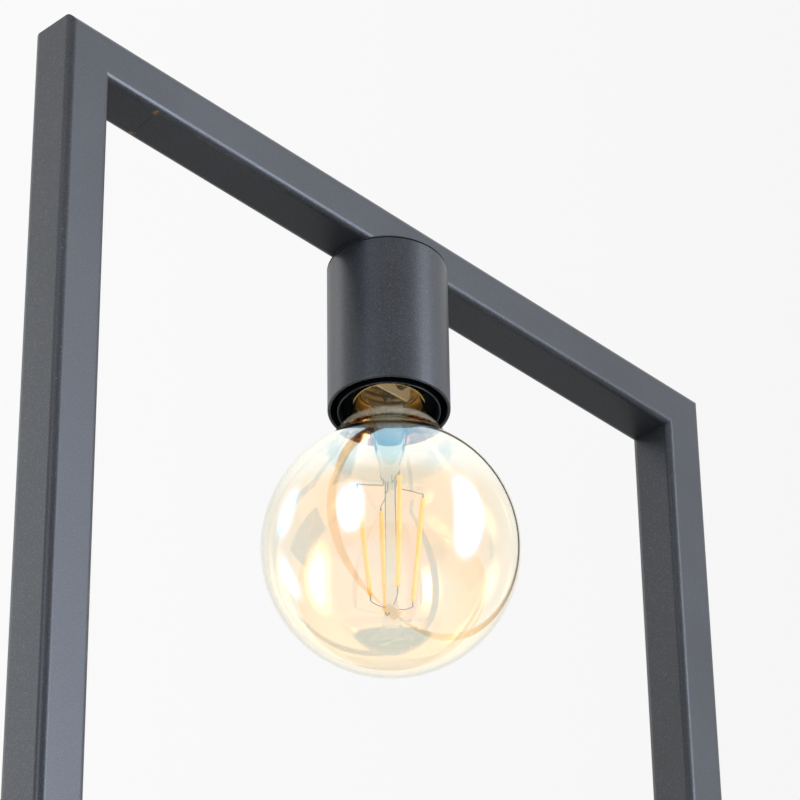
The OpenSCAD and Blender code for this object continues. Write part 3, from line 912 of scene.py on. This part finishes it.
@dataclass
class LampFrame(Assembly):
    """The welded frame: posts, bar, base plate, and what is fixed to them."""

    width: float = 345 * MM
    height: float = 1500 * MM
    tube: float = 20 * MM
    wall: float = 1.5 * MM
    edge: float = 2.8 * MM
    inner_edge: float = 1.3 * MM
    plate_corner: float = 6 * MM
    plate_edge: float = 0.5 * MM
    plate_low: float = 2.5 * MM
    plate_high: float = 8.5 * MM
    plate_depth: float = 220 * MM
    bush_hole: float = 10 * MM
    inlet_z: float = 53.5 * MM
    screw: float = 8 * MM
    screw_head: float = 15 * MM
    screw_length: float = 20 * MM
    socket: float = 5 * MM
    pad: float = 22 * MM
    pad_height: float = 2.5 * MM
    pad_inset: float = 18 * MM

    @property
    def post_x(self) -> float:
        """Distance of a post's centre from the middle."""
        return self.width / 2 - self.tube / 2

    def build(self) -> None:
        """Makes the frame's pieces."""
        for name, side, finish in (("left", -1, COAT_NICKED), ("right", 1, COAT)):
            post = self.post(f"{name}_post_tube", side, finish)
            if side < 0:
                cut_by(post, self.peg())
            self.hand_over(post, finish, f"{name}_post")
        self.hand_over(self.bar(), COAT_SEAMED, "top_bar")
        self.hand_over(self.plate(), COAT, "base_plate")
        self.hand_over(self.pads(), RUBBER, "floor_pads")
        self.hand_over(self.screws(), ZINC, "base_screws")
        self.hand_over(self.bush(), RUBBER, "cable_bush")
        self.dress(STEEL, "post_inserts")
        self.dress(SHEATH, "inner_lead")
        self.dress(CORE, "lead_cores")

    def tube_form(self, put: Callable[[float, float, bool], Point3]) -> Form:
        """Joins the tube's outer and inner outline from end to end.

        Args:
            put: Places a point of an outline at the first end, or at the last if the third value is True.

        Returns:
            The form.
        """
        inside = self.tube - 2 * self.wall
        outer = rounded_rectangle(self.tube, self.tube, self.edge)
        inner = rounded_rectangle(inside, inside, self.inner_edge)
        rows = ((outer, False), (outer, True), (inner, True), (inner, False))
        return Form().loops([[put(u, v, last) for u, v in outline] for outline, last in rows], around=True)

    def post(self, name: str, side: int, finish: Finish) -> Thing:
        """Makes a post, square at the foot and mitred to the bar.

        Args:
            name: The piece's name.
            side: -1 for the left post, 1 for the right.
            finish: Its finish.

        Returns:
            The piece.
        """
        centre = side * self.post_x

        def put(u: float, v: float, last: bool) -> Point3:
            """Puts a point at the foot, or at the mitre."""
            return centre + u, v, self.height - (self.tube / 2 - side * u) if last else self.plate_high

        return self.tube_form(put).piece(name, finish)

    def bar(self) -> Thing:
        """Makes the bar, mitred at both ends, with the nipple's hole in its floor.

        Returns:
            The bar.
        """
        middle = self.height - self.tube / 2

        def put(u: float, v: float, last: bool) -> Point3:
            """Puts a point at the left mitre, or at the right one."""
            return (1 if last else -1) * (self.width / 2 - (self.tube / 2 - v)), u, middle + v

        made = self.tube_form(put).piece("bar_tube", COAT_SEAMED)
        low = self.height - self.tube
        hole = Form().turned(rod(NIPPLE_HOLE / 2, low - MM, low + 3 * MM), 48)
        return cut_by(made, hole.piece("nipple_hole", COAT))

    def inlet(self, x: float, y: float, z: float) -> Point3:
        """Puts a point of a form turned about the Z axis on the cable inlet's axis."""
        return x - self.post_x, z, y + self.inlet_z

    def peg(self) -> Thing:
        """Makes the form that cuts the cable inlet out of the left post's back.

        Returns:
            The form to cut with.
        """
        face = self.tube / 2
        form = Form().turned(rod(self.bush_hole / 2, face - 3 * MM, face + MM), 48, place=self.inlet)
        return form.piece("inlet_hole", COAT)

    def plate(self) -> Thing:
        """Makes the base plate with eased edges and two countersunk holes.

        Returns:
            The base plate.
        """
        edge, wide, deep = self.plate_edge, self.width, self.plate_depth
        rows, ease = [], 0.3 * edge
        low, high = self.plate_low, self.plate_high
        for inset, z in ((edge, low), (ease, low + ease), (0, low + edge),
                         (0, high - edge), (ease, high - ease), (edge, high)):
            outline = rounded_rectangle(wide - 2 * inset, deep - 2 * inset, self.plate_corner - inset)
            rows.append([(x, y, z) for x, y in outline])
        made = Form().loops(rows).piece("plate", COAT)
        head, shank = self.screw_head / 2 + 0.1 * MM, self.screw / 2 + 0.2 * MM
        under, over = low - MM, high + MM
        profile = [(0, under), (head, under), (head, low), (shank, low + head - shank), (shank, over),
                   (0, over)]
        holes = []
        for side in (-1, 1):
            hole = Form().turned(profile, 64).piece("screw_hole", COAT)
            hole.data.transform(Matrix.Translation((side * self.post_x, 0, 0)))
            holes.append(hole)
        return cut_by(made, *holes)

    def pads(self) -> Thing:
        """Makes the four floor pads.

        Returns:
            The pads as one object.
        """
        radius, edge, high = self.pad / 2, 0.6 * MM, self.pad_height
        profile = [(0, 0)] + arc((radius - edge, edge), edge, -90, 0, 6) + [(radius, high), (0, high)]
        made = Form().turned(supported(profile), 64).piece("pads", RUBBER)
        return self.grid.run(made, RUBBER, Width=self.width - 2 * self.pad_inset,
                             Depth=self.plate_depth - 2 * self.pad_inset)

    def screws(self) -> Thing:
        """Makes the two countersunk base screws.

        Returns:
            The screws as one object.
        """
        head, shank, low = self.screw_head / 2, self.screw / 2, self.plate_low
        top = low + self.screw_length
        profile = [(0, low), (head - 0.15 * MM, low), (head, low + 0.15 * MM), (shank, low + head - shank),
                   (shank, top - 0.8 * MM), (shank - 0.8 * MM, top), (0, top)]
        made = Form().turned(profile, 64).piece("plate_screws", ZINC)
        across = self.socket / math.sqrt(3)
        socket = Form().turned([(0, low - MM), (across, low - MM), (across, low + self.socket / 2),
                                (0, low + 0.6 * self.socket)], 6)
        cut_by(made, socket.piece("socket", ZINC))
        return self.grid.run(made, ZINC, Width=2 * self.post_x, Across=2, Deep=1)

    def bush(self) -> Thing:
        """Makes the cable bush with its domed flange and its lip.

        Returns:
            The bush.
        """
        low, high = self.corners("cable_bush")
        bore, neck, lip, flange = 3.3 * MM, 4.9 * MM, 5.5 * MM, (high.x - low.x) / 2
        face, back, thick, ease = self.tube / 2, low.y, 1.2 * MM, 0.6 * MM
        dome = arc((flange - thick, high.y - thick), thick, 0, 90, 8)
        mouth = arc((bore + ease, high.y - ease), ease, 90, 180, 6)
        profile = [(bore, back), (lip, back), (lip, back + thick), (neck, back + thick), (neck, face),
                   (flange, face)] + dome + mouth
        form = Form().turned(supported(profile, 0.1 * MM, True), 64, around=True, place=self.inlet)
        return form.piece("inlet_bush", RUBBER)


@dataclass
class Cup(Assembly):
    """The round cup under the bar, with a bead and a groove at its top, and the parts that hang it."""

    diameter: float = 46 * MM
    wall: float = 1.2 * MM
    shoulder: float = 0.5 * MM
    bead_height: float = 0.45 * MM
    groove_height: float = 0.55 * MM
    groove_depth: float = 0.5 * MM
    nipple: float = 10 * MM
    nipple_bore: float = 7.4 * MM
    teeth: int = 12

    def build(self) -> None:
        """Makes the cup, the nipple and the washer."""
        self.hand_over(self.shell(), COAT, "holder_cup")
        self.hand_over(self.pipe(), ZINC, "nipple")
        self.hand_over(self.washer(), ZINC, "tooth_washer")
        self.dress(ZINC, "nipple_nut")

    def shell(self) -> Thing:
        """Makes the cup: closed at the top, with a rolled lip at the rim.

        Returns:
            The cup.
        """
        rim, high = self.span_z("holder_cup")
        out, lip, hole = self.diameter / 2, self.wall / 2, NIPPLE_HOLE / 2
        inside, floor = out - self.wall, high - self.wall
        ease, groove = 0.08 * MM, out - self.groove_depth
        bead, under = high - self.bead_height, high - self.bead_height - self.groove_height
        bend = self.shoulder
        profile = [(hole, high), (out - ease, high), (out, high - ease), (out, bead + ease),
                   (out - ease, bead), (groove, bead), (groove, under), (out - ease, under),
                   (out, under - ease)]
        profile += arc((out - lip, rim + lip), lip, 0, -180, 14)
        profile += arc((inside - bend, floor - bend), bend, 0, 90, 8) + [(hole, floor)]
        return Form().turned(supported(profile, closed=True), 160, around=True).piece("cup", COAT)

    def pipe(self) -> Thing:
        """Makes the hollow nipple with chamfered ends.

        Returns:
            The nipple.
        """
        low, high = self.span_z("nipple")
        out, bore, ease = self.nipple / 2, self.nipple_bore / 2, 0.5 * MM
        profile = [(bore, low), (out - ease, low), (out, low + ease), (out, high - ease), (out - ease, high),
                   (bore, high)]
        return Form().turned(supported(profile, closed=True), 64, around=True).piece("nipple_pipe", ZINC)

    def washer(self) -> Thing:
        """Makes the washer from one tooth, repeated round the axis.

        Returns:
            The washer.
        """
        low, high = self.corners("tooth_washer")
        hole, root, tip = NIPPLE_HOLE / 2, high.x - 1.6 * MM, high.x
        half = math.pi / self.teeth
        gap = 0.6 * MM / tip
        spokes = [(hole, -half), (hole, 0.0), (hole, half), (root, half), (root, half - gap),
                  (tip, half - gap), (tip, 0.0), (tip, -half + gap), (root, -half + gap), (root, -half)]
        rows = [[(r * math.cos(a), r * math.sin(a), z) for r, a in spokes] for z in (low.z, high.z)]
        made = Form().loops(rows).piece("washer_teeth", ZINC)
        return self.ring.run(made, ZINC, Count=self.teeth)


@dataclass
class Lampholder(Assembly):
    """The lampholder in the cup: cap, skirt, insulating insert and screw shell."""

    wall: float = 1.3 * MM
    edge: float = 0.3 * MM
    guard: float = 13.8 * MM
    guard_top: float = 7 * MM
    cap_shown: float = 0.4 * MM
    thread_mean: float = 12.93 * MM
    sheet: float = 0.35 * MM
    lip: float = 0.5 * MM
    collar: float = 8.5 * MM
    collar_height: float = 6 * MM
    collar_lap: float = 2 * MM
    collar_bore: float = 5.05 * MM
    dome: float = 10 * MM
    dome_inside: float = 8.7 * MM
    spigot_height: float = 3 * MM

    def build(self) -> None:
        """Makes the lampholder's pieces."""
        self.hand_over(self.skirt(), PLASTIC, "holder_skirt")
        self.hand_over(self.cap(), PLASTIC, "holder_cap")
        self.hand_over(self.shell(), BRASS, "screw_shell")
        self.dress(CERAMIC, "holder_insert")
        self.dress(BRASS, "contact_spring", "terminal_blocks")
        self.dress(ZINC, "terminal_screws")

    def skirt(self) -> Thing:
        """Makes the skirt with its thin-edged mouth and the guard ring close round the bulb's cap.

        Returns:
            The skirt.
        """
        (_, _, low), high = self.corners("holder_skirt")
        out, edge = high.x, self.edge
        inside, guard, top, ease = out - self.wall, self.guard, low + self.guard_top, 0.1 * MM
        under = self.span_z("bulb_cap")[0] + self.cap_shown
        rolled = arc((out - edge, low + edge), edge, 0, -135, 10)
        slope = sum(rolled[-1]) - inside
        profile = [(out, high.z)] + rolled
        profile += [(inside, slope), (inside, under), (guard + ease, under), (guard, under + ease),
                    (guard, top), (inside, top), (inside, high.z)]
        made = Form().turned(supported(profile, closed=True), 160, around=True).piece("skirt", PLASTIC)
        # The lip's outer corner takes the lighter copy of the plastic, a painted highlight line.
        made.data.materials.append(PLASTIC_PAINTED_HIGHLIGHT.material())
        for face in made.data.polygons:
            if face.center.z < low + edge and math.hypot(face.center.x, face.center.y) > out - edge:
                face.material_index = 1
        return made

    def cap(self) -> Thing:
        """Makes the domed cap with its collar and its spigot.

        Returns:
            The lampholder's cap.
        """
        low, high = self.corners("holder_cap")
        step, collar, dome, bore, inner = high.x, self.collar, self.dome, self.collar_bore, self.dome_inside
        spigot, ease = step - self.wall - 0.2 * MM, 0.4 * MM
        shoulder = high.z - self.collar_height + self.collar_lap
        seat, roof = low.z + self.spigot_height, shoulder - self.wall
        out = [(spigot, low.z), (spigot, seat), (step, seat)]
        out += arc((step - dome, shoulder - dome), dome, 0, 90, 16)
        out += [(collar, shoulder), (collar, high.z - ease), (collar - ease, high.z), (bore, high.z)]
        inside = [(bore, roof)] + arc((spigot - self.wall - inner, roof - inner), inner, 90, 0, 16)
        inside += [(spigot - self.wall, low.z)]
        return Form().turned(supported(out + inside, closed=True), 128, around=True).piece("cap", PLASTIC)

    def shell(self) -> Thing:
        """Makes the threaded brass sleeve, short of its inward lip.

        Returns:
            The sleeve.
        """
        low, high = self.span_z("screw_shell")
        return threaded(self.thread, "shell_sleeve", BRASS, self.sheet, True, Mean_Radius=self.thread_mean,
                        Height=high - self.lip - low, Low_End=low, Rows=72)


@dataclass
class Bulb(Assembly):
    """The bulb: blown globe, stem, cage of filaments, cap and contact."""

    body = Body.BULB
    globe: float = 47.5 * MM
    flare: float = 60 * MM
    neck: float = 10.7 * MM
    glass: float = 0.9 * MM
    filament_count: int = 4
    filament: float = 0.9 * MM
    cage_top: float = 12.5 * MM
    cage_low: float = 8 * MM
    cage_rise: float = 24 * MM
    press_rise: float = 6.6 * MM
    bead_drop: float = 4 * MM
    filament_length: float = 46 * MM
    first_turn: float = math.radians(-30)
    tab: float = 0.3 * MM
    tab_length: float = 1.6 * MM
    tab_lap: float = 0.6 * MM
    tab_gap: float = 0.1 * MM
    wire: float = 0.2 * MM
    thread_mean: float = 12.68 * MM
    skirt_height: float = 5.6 * MM
    skirt: float = 13.45 * MM
    sheet: float = 0.3 * MM

    @property
    def centre(self) -> float:
        """Height of the globe's centre."""
        return self.span_z("glass_globe")[0] + self.globe

    @property
    def cage_floor(self) -> float:
        """Height of the filaments' lower ends above the globe's centre."""
        return self.cage_rise - math.sqrt(self.filament_length ** 2 - (self.cage_top - self.cage_low) ** 2)

    @property
    def press(self) -> float:
        """Height of the stem's press."""
        return self.centre + self.cage_rise + self.press_rise

    @property
    def bead_z(self) -> float:
        """Height of the bead's centre."""
        return self.centre + self.cage_floor - self.bead_drop

    def build(self) -> None:
        """Makes the bulb's pieces."""
        self.hand_over(self.envelope(), AMBER, "glass_globe")
        self.hand_over(self.stem(), CLEAR, "glass_stem")
        self.hand_over(self.filaments(), PHOSPHOR, "filaments")
        self.hand_over(self.tabs(), WIRE, "filaments")
        self.hand_over(self.upper_wires(), WIRE, "upper_wires")
        self.hand_over(self.lower_wires(), WIRE, "lower_wires")
        self.hand_over(self.cap(), NICKEL, "bulb_cap")
        self.dress(BOARD, "driver_board")
        self.dress(PLASTIC, "cap_insulator")
        self.dress(BRASS, "cap_contact")

    def outline(self, inset: float) -> Profile:
        """Outlines half of the glass from its lowest point up to the neck's end.

        Args:
            inset: How far the outline is drawn in.

        Returns:
            Pairs of radius and height.
        """
        centre, top = self.centre, self.span_z("glass_globe")[1]
        away = self.neck + self.flare
        high = centre + math.sqrt((self.globe + self.flare) ** 2 - away ** 2)
        meet = math.degrees(math.atan2(high - centre, away))
        lower = arc((0.0, centre), self.globe - inset, -90, meet, 120)
        bend = self.flare + inset
        stop = math.degrees(math.asin((high - top) / bend))
        upper = arc((away, high), bend, 180 + meet, 180 + stop, 48)
        return lower + upper[1:]

    def envelope(self) -> Thing:
        """Makes the blown globe with its neck, a wall of even thickness.

        Returns:
            The globe.
        """
        profile = self.outline(0.0) + self.outline(self.glass)[::-1]
        made = Form().turned(profile, 192).piece("globe", AMBER)
        made.data.materials.append(AMBER_INSIDE.material())
        middle = Vector((0.0, 0.0, self.centre))
        for face in made.data.polygons:
            if face.normal.dot(face.center - middle) < 0:
                face.material_index = 1
        return made

    def stem(self) -> Thing:
        """Makes the flared stem, its press, the rod and the bead.

        Returns:
            The stem.
        """
        top, press, bead = self.span_z("glass_stem")[1], self.press, self.bead_z
        wall, thin, ball = 0.9, 2.0 * MM, 2.6 * MM
        flared = ((10.6, 0.0), (9.4, -1.2), (8.4, -2.8), (7.5, -4.6), (6.7, -6.6), (6.1, -8.6), (5.92, -10.2))
        outer = ((5.9, 18), (5.9, 16), (5.6, 13.6), (4.9, 11), (4.2, 8.4), (3.75, 6), (3.6, 3.4), (3.6, 0.9),
                 (3.35, 0.2), (2.8, 0), (2.3, 0), (2.0, -0.4))
        inner = ((0, 6), (1.6, 7.2), (2.9, 10), (4.2, 13.6), (4.9, 17), (5.0, 19.4))
        profile = [(r * MM, press + z * MM) for r, z in inner]
        profile += [((r - wall) * MM, top + z * MM) for r, z in flared[::-1]]
        profile += [(r * MM, top + z * MM) for r, z in flared]
        profile += [(r * MM, press + z * MM) for r, z in outer]
        profile += [(thin, bead + 2.2 * MM)] + arc((0.0, bead), ball, 50, -90, 18)
        return Form().turned(profile, 96).piece("stem", CLEAR)

    def ends(self) -> tuple[Vector, Vector, Vector]:
        """Finds the filament's ends in the plane of X and Z.

        Returns:
            The upper end, the lower end and the way from one to the other.
        """
        top = Vector((self.cage_top, 0, self.centre + self.cage_rise))
        low = Vector((self.cage_low, 0, self.centre + self.cage_floor))
        return top, low, (low - top).normalized()

    def caged(self, form: Form, name: str, finish: Finish) -> Thing:
        """Makes a piece of a form, once for each filament."""
        return self.ring.run(form.piece(name, finish), finish, Count=self.filament_count,
                             First_Turn=self.first_turn)

    def along(self, sides: int, *profiles: Sequence[Point2]) -> Form:
        """Turns profiles about the line of a filament.

        Args:
            sides: Steps round the line.
            *profiles: Pairs of radius and distance from the upper end towards the lower.

        Returns:
            The form.
        """
        top, _, way = self.ends()
        across = Vector((0, 1, 0))
        other = way.cross(across)
        form = Form()
        for profile in profiles:
            form.turned(profile, sides, place=lambda x, y, z: tuple(top + way * z + across * x + other * y))
        return form

    def filaments(self) -> Thing:
        """Makes the filaments' yellow bodies with round ends.

        Returns:
            The filaments as one object.
        """
        r, length = self.filament, self.filament_length
        profile = arc((0.0, r), r, -90, 0, 8) + arc((0.0, length - r), r, 0, 90, 8)
        return self.caged(self.along(24, supported(profile)), "filament_bodies", PHOSPHOR)

    def tabs(self) -> Thing:
        """Makes the metal tab at each end of every filament.

        Returns:
            The tabs as one object.
        """
        length, lap, out = self.filament_length, self.tab_lap, self.tab_length
        profiles = rod(self.tab, -out, lap), rod(self.tab, length - lap, length + out)
        return self.caged(self.along(16, *profiles), "filament_tabs", WIRE)

    def upper_wires(self) -> Thing:
        """Makes the wires that drop from the press and bend out to the upper tabs.

        Returns:
            The wires as one object.
        """
        top, _, way = self.ends()
        end = top - way * (self.tab_length + self.tab_gap + self.wire)
        ring, bend, hub = 2.55 * MM, 0.9 * MM, top.z + 3 * MM
        path = [(ring, 0.0, self.press - 0.1 * MM), (ring, 0.0, hub + 1.6 * bend)]
        path += [(ring + bend - bend * math.cos(t), 0.0, hub + bend - bend * math.sin(t))
                 for t in (math.radians(a) for a in range(0, 91, 15))]
        run = end.x + self.tab - ring - bend
        path += [(ring + bend + run * s, 0.15 * MM * math.sin(3 * math.pi * s), hub + (end.z - hub) * s)
                 for s in (0.12, 0.3, 0.5, 0.7, 0.88, 1.0)]
        return self.caged(Form().swept(path, self.wire, 12), "hanger_wires", WIRE)

    def lower_wires(self) -> Thing:
        """Makes the wires that run from the bead out to the lower tabs.

        Returns:
            The wires as one object.
        """
        _, low, way = self.ends()
        end = low + way * (self.tab_length + self.tab_gap + 1.2 * self.wire)
        start_x, start_z = 2.7 * MM, self.bead_z
        reach, rise = end.x + self.tab - start_x, end.z - start_z
        path = [(start_x + reach * s, 0.0, start_z + rise * s * s)
                for s in (0, 0.15, 0.3, 0.5, 0.7, 0.85, 1.0)]
        return self.caged(Form().swept(path, self.wire, 12), "anchor_wires", WIRE)

    def cap(self) -> Thing:
        """Makes the cap: a threaded sheet sleeve, a plain skirt below and a shoulder above.

        Returns:
            The bulb's cap.
        """
        low, high = self.span_z("bulb_cap")
        start = low + self.skirt_height
        made = threaded(self.thread, "screw_cap", NICKEL, self.sheet, False, Mean_Radius=self.thread_mean,
                        Height=high - start, Low_End=start - 0.1 * MM)
        skirt, sheet = self.skirt, self.sheet
        bore = self.thread_mean - THREAD_DEPTH / 2 - sheet
        roll = arc((skirt - sheet / 2, low + sheet / 2), sheet / 2, -180, 0, 8)
        profile = roll + [(skirt, start - 0.5 * MM), (skirt - 0.15 * MM, start), (bore, start),
                          (bore, start - sheet), (skirt - sheet, start - 2 * sheet)]
        plain = Form().turned(supported(profile, 0.1 * MM, True), 128, around=True).piece("cap_skirt", NICKEL)
        return joined(made, plain)


@dataclass(frozen=True)
class Softbox:
    """A large soft light whose brightness falls off towards its edges."""

    name: str
    bearing: float
    rise: float
    width: float
    height: float
    brightness: float
    colour: Colour = (1.0, 1.0, 1.0)
    distance: float = 3.0

    def hang(self, aim: Point3) -> None:
        """Hangs the light round a point and turns it there.

        Args:
            aim: The point that it lights.
        """
        light = bpy.data.lights.new(self.name, "AREA")
        light.shape, light.size, light.size_y = "RECTANGLE", self.width, self.height
        light.energy = self.brightness * math.pi * self.width * self.height
        light.color = self.colour
        light.use_nodes = True
        nodes = Nodes(light.node_tree)
        place = nodes.node("ShaderNodeNewGeometry").outputs["Parametric"]
        away = (nodes.math("ABSOLUTE", nodes.math("SUBTRACT", side, 0.5))
                for side in nodes.node("ShaderNodeSeparateXYZ", place).outputs[:2])
        fade = nodes.math("MULTIPLY", *(nodes.span(side, 0.0, 0.5, 1.0, 0.0) for side in away))
        nodes.feed(nodes.tree.nodes["Emission"], "Strength", nodes.math("MULTIPLY", fade, fade))
        turn, lift = math.radians(self.bearing), math.radians(self.rise)
        way = Vector((math.cos(turn) * math.cos(lift), math.sin(turn) * math.cos(lift), math.sin(lift)))
        made = linked(self.name, light)
        made.location = Vector(aim) + self.distance * way
        made.rotation_mode = "QUATERNION"
        made.rotation_quaternion = (-way).to_track_quat("-Z", "Y")
        made.visible_camera = False


def staged(look: Surface, corners: Sequence[Vector]) -> Thing:
    """Makes a flat piece of the studio, which is no part of the lamp.

    Args:
        look: Its material, of which it takes the name.
        corners: Its four corners.

    Returns:
        The piece.
    """
    mesh = bpy.data.meshes.new(look.material.name)
    mesh.from_pydata([tuple(corner) for corner in corners], [], [(0, 1, 2, 3)])
    mesh.materials.append(look.material)
    made = linked(look.material.name, mesh)
    return made


@dataclass
class Viewpoint:
    """The photograph's camera: below the bar, in front and to the left, looking up."""

    azimuth: float = -46.5723
    elevation: float = -35.0172
    roll: float = -0.9079
    target: Point3 = (0.0060349, 0.0, 1.4231515)
    distance: float = 1.5573352
    focal_pixels: float = 4154.744
    picture: int = 800
    sensor: float = 36.0

    def basis(self) -> tuple[Vector, Vector, Vector]:
        """Finds the view's directions.

        Returns:
            The right, up and forward directions.
        """
        a, e, r = (math.radians(v) for v in (self.azimuth, self.elevation, self.roll))
        forward = Vector((-math.sin(a) * math.cos(e), math.cos(a) * math.cos(e), -math.sin(e)))
        right = forward.cross(Vector((0, 0, 1))).normalized()
        up = right.cross(forward)
        return (math.cos(r) * right + math.sin(r) * up, -math.sin(r) * right + math.cos(r) * up, forward)

    def build(self) -> None:
        """Makes the camera."""
        right, up, forward = self.basis()
        data = bpy.data.cameras.new("camera")
        data.sensor_width, data.lens = self.sensor, self.focal_pixels * self.sensor / self.picture
        data.clip_start, data.clip_end = 0.05, 200.0
        made = linked("camera", data)
        turn = Matrix((right, up, -forward)).transposed().to_4x4()
        made.matrix_world = Matrix.Translation(Vector(self.target) - forward * self.distance) @ turn
        bpy.context.scene.camera = made


@dataclass
class Studio:
    """A pale floor, a pale surround, softboxes and a dark card."""

    floor_size: float = 12.0
    floor_tone: float = 0.40
    near_light: float = 0.52
    far_light: float = 1.0
    ceiling_light: float = 1.5
    through_glass: float = 0.94
    in_glass: Colour = (1.75, 1.95, 2.35)
    floor_in_glass: Colour = (1.35, 1.42, 1.6)
    backdrop: tuple[float, float] = (0.925, 0.955)
    softboxes: tuple[Softbox, ...] = (
        Softbox("key", -67.0, 10.0, 1.3, 2.9, 23.5, (0.86, 0.97, 1.20), distance=1.8),
        Softbox("window", -169.6, 8.0, 1.8, 3.4, 15.0, (0.80, 0.95, 1.22)),
        Softbox("fill", 110.4, -4.0, 1.5, 2.4, 4.0),
        Softbox("side", 122.0, 28.0, 2.0, 2.2, 4.7, (0.92, 0.99, 1.08)),
    )
    card_bearing: float = -46.0
    card_width: float = 1.15
    card_height: float = 1.75
    card_distance: float = 2.5
    card_tone: float = 0.05
    aim: Point3 = (0.0, 0.0, 1.39)

    def build(self, view: Viewpoint) -> None:
        """Makes the studio.

        Args:
            view: The camera, behind which the room is dimmer.
        """
        bpy.context.scene.view_settings.view_transform = "Standard"
        right, _, forward = view.basis()
        self.surround(right, forward)
        self.floor()
        for box in self.softboxes:
            box.hang(self.aim)
        self.card()

    def surround(self, right: Vector, forward: Vector) -> None:
        """Makes the surround: brighter ahead of the camera than behind it, near white straight on.

        Args:
            right: The view's right side.
            forward: The direction in which the camera looks.
        """
        ahead = Vector((forward.x, forward.y, 0.0)).normalized()
        world = bpy.data.worlds.new("surround")
        bpy.context.scene.world = world
        world.use_nodes = True
        world.node_tree.nodes.clear()
        nodes = Nodes(world.node_tree)
        node = nodes.node
        way = node("ShaderNodeTexCoord").outputs["Generated"]
        facing = node("ShaderNodeVectorMath", way, tuple(ahead), operation="DOT_PRODUCT").outputs["Value"]
        walls = nodes.span(facing, -0.6, 0.6, self.near_light, self.far_light)
        side = node("ShaderNodeVectorMath", way, tuple(right), operation="DOT_PRODUCT").outputs["Value"]
        pale = node("ShaderNodeMapRange", side, -0.1, 0.1, self.backdrop[1], self.backdrop[0]).outputs[0]
        dome = nodes.span(node("ShaderNodeSeparateXYZ", way).outputs[2], 0.6, 0.9, walls, self.ceiling_light)
        through, inside = nodes.glass_paths()
        level = node("ShaderNodeMapRange", through, 0.0, 1.0, dome, self.through_glass).outputs[0]
        room = node("ShaderNodeBackground", WHITE, level).outputs[0]
        glint = node("ShaderNodeBackground", (*self.in_glass, 1.0), 1.0).outputs[0]
        cloth = node("ShaderNodeBackground", WHITE, pale).outputs[0]
        behind = nodes.span(facing, -0.3, 0.4, inside, 0.0)
        unseen = node("ShaderNodeMixShader", behind, room, glint).outputs[0]
        seen = node("ShaderNodeLightPath").outputs["Is Camera Ray"]
        node("ShaderNodeOutputWorld", node("ShaderNodeMixShader", seen, unseen, cloth).outputs[0])

    def floor(self) -> None:
        """Makes the floor, which hides nothing from below."""
        half = self.floor_size / 2
        look = Surface("floor")
        matt = look.node("ShaderNodeBsdfDiffuse", (*(self.floor_tone,) * 3, 1.0))
        glint = look.node("ShaderNodeEmission", (*self.floor_in_glass, 1.0))
        top = look.mixed(look.glass_paths()[1], matt, glint)
        behind = look.node("ShaderNodeNewGeometry").outputs["Backfacing"]
        look.show(look.mixed(behind, top, look.node("ShaderNodeBsdfTransparent")).outputs[0])
        staged(look, [Vector((x * half, y * half, 0.0)) for x, y in ((-1, -1), (1, -1), (1, 1), (-1, 1))])

    def card(self) -> None:
        """Stands a dark card in the room, which shows only as a mirror image in the globe."""
        turn = math.radians(self.card_bearing)
        away = Vector((math.cos(turn), math.sin(turn), 0.0))
        across = Vector((-math.sin(turn), math.cos(turn), 0.0))
        corners = [self.card_distance * away + side * self.card_width / 2 * across + Vector((0.0, 0.0, z))
                   for side, z in ((-1, 0.0), (1, 0.0), (1, self.card_height), (-1, self.card_height))]
        look = Surface("side_card")
        nothing = look.node("ShaderNodeBsdfTransparent")
        dark = look.node("ShaderNodeEmission", (*(self.card_tone,) * 3, 1.0))
        look.show(look.mixed(look.glass_paths()[1], nothing, dark).outputs[0])
        made = staged(look, corners)
        made.visible_camera = made.visible_shadow = made.visible_diffuse = False


def main() -> None:
    """Builds the camera, the lamp and the studio."""
    logging.basicConfig(level=logging.INFO, format="%(name)s: %(message)s")
    view = Viewpoint()
    view.build()
    Assembly.ring, Assembly.grid, Assembly.thread = ring_tree(), grid_tree(), thread_tree()
    for part in (LampFrame(), Cup(), Lampholder(), Bulb()):
        LOG.info("building %s", type(part).__name__)
        part.build()
    Studio().build(view)


if __name__ == "__main__":
    main()
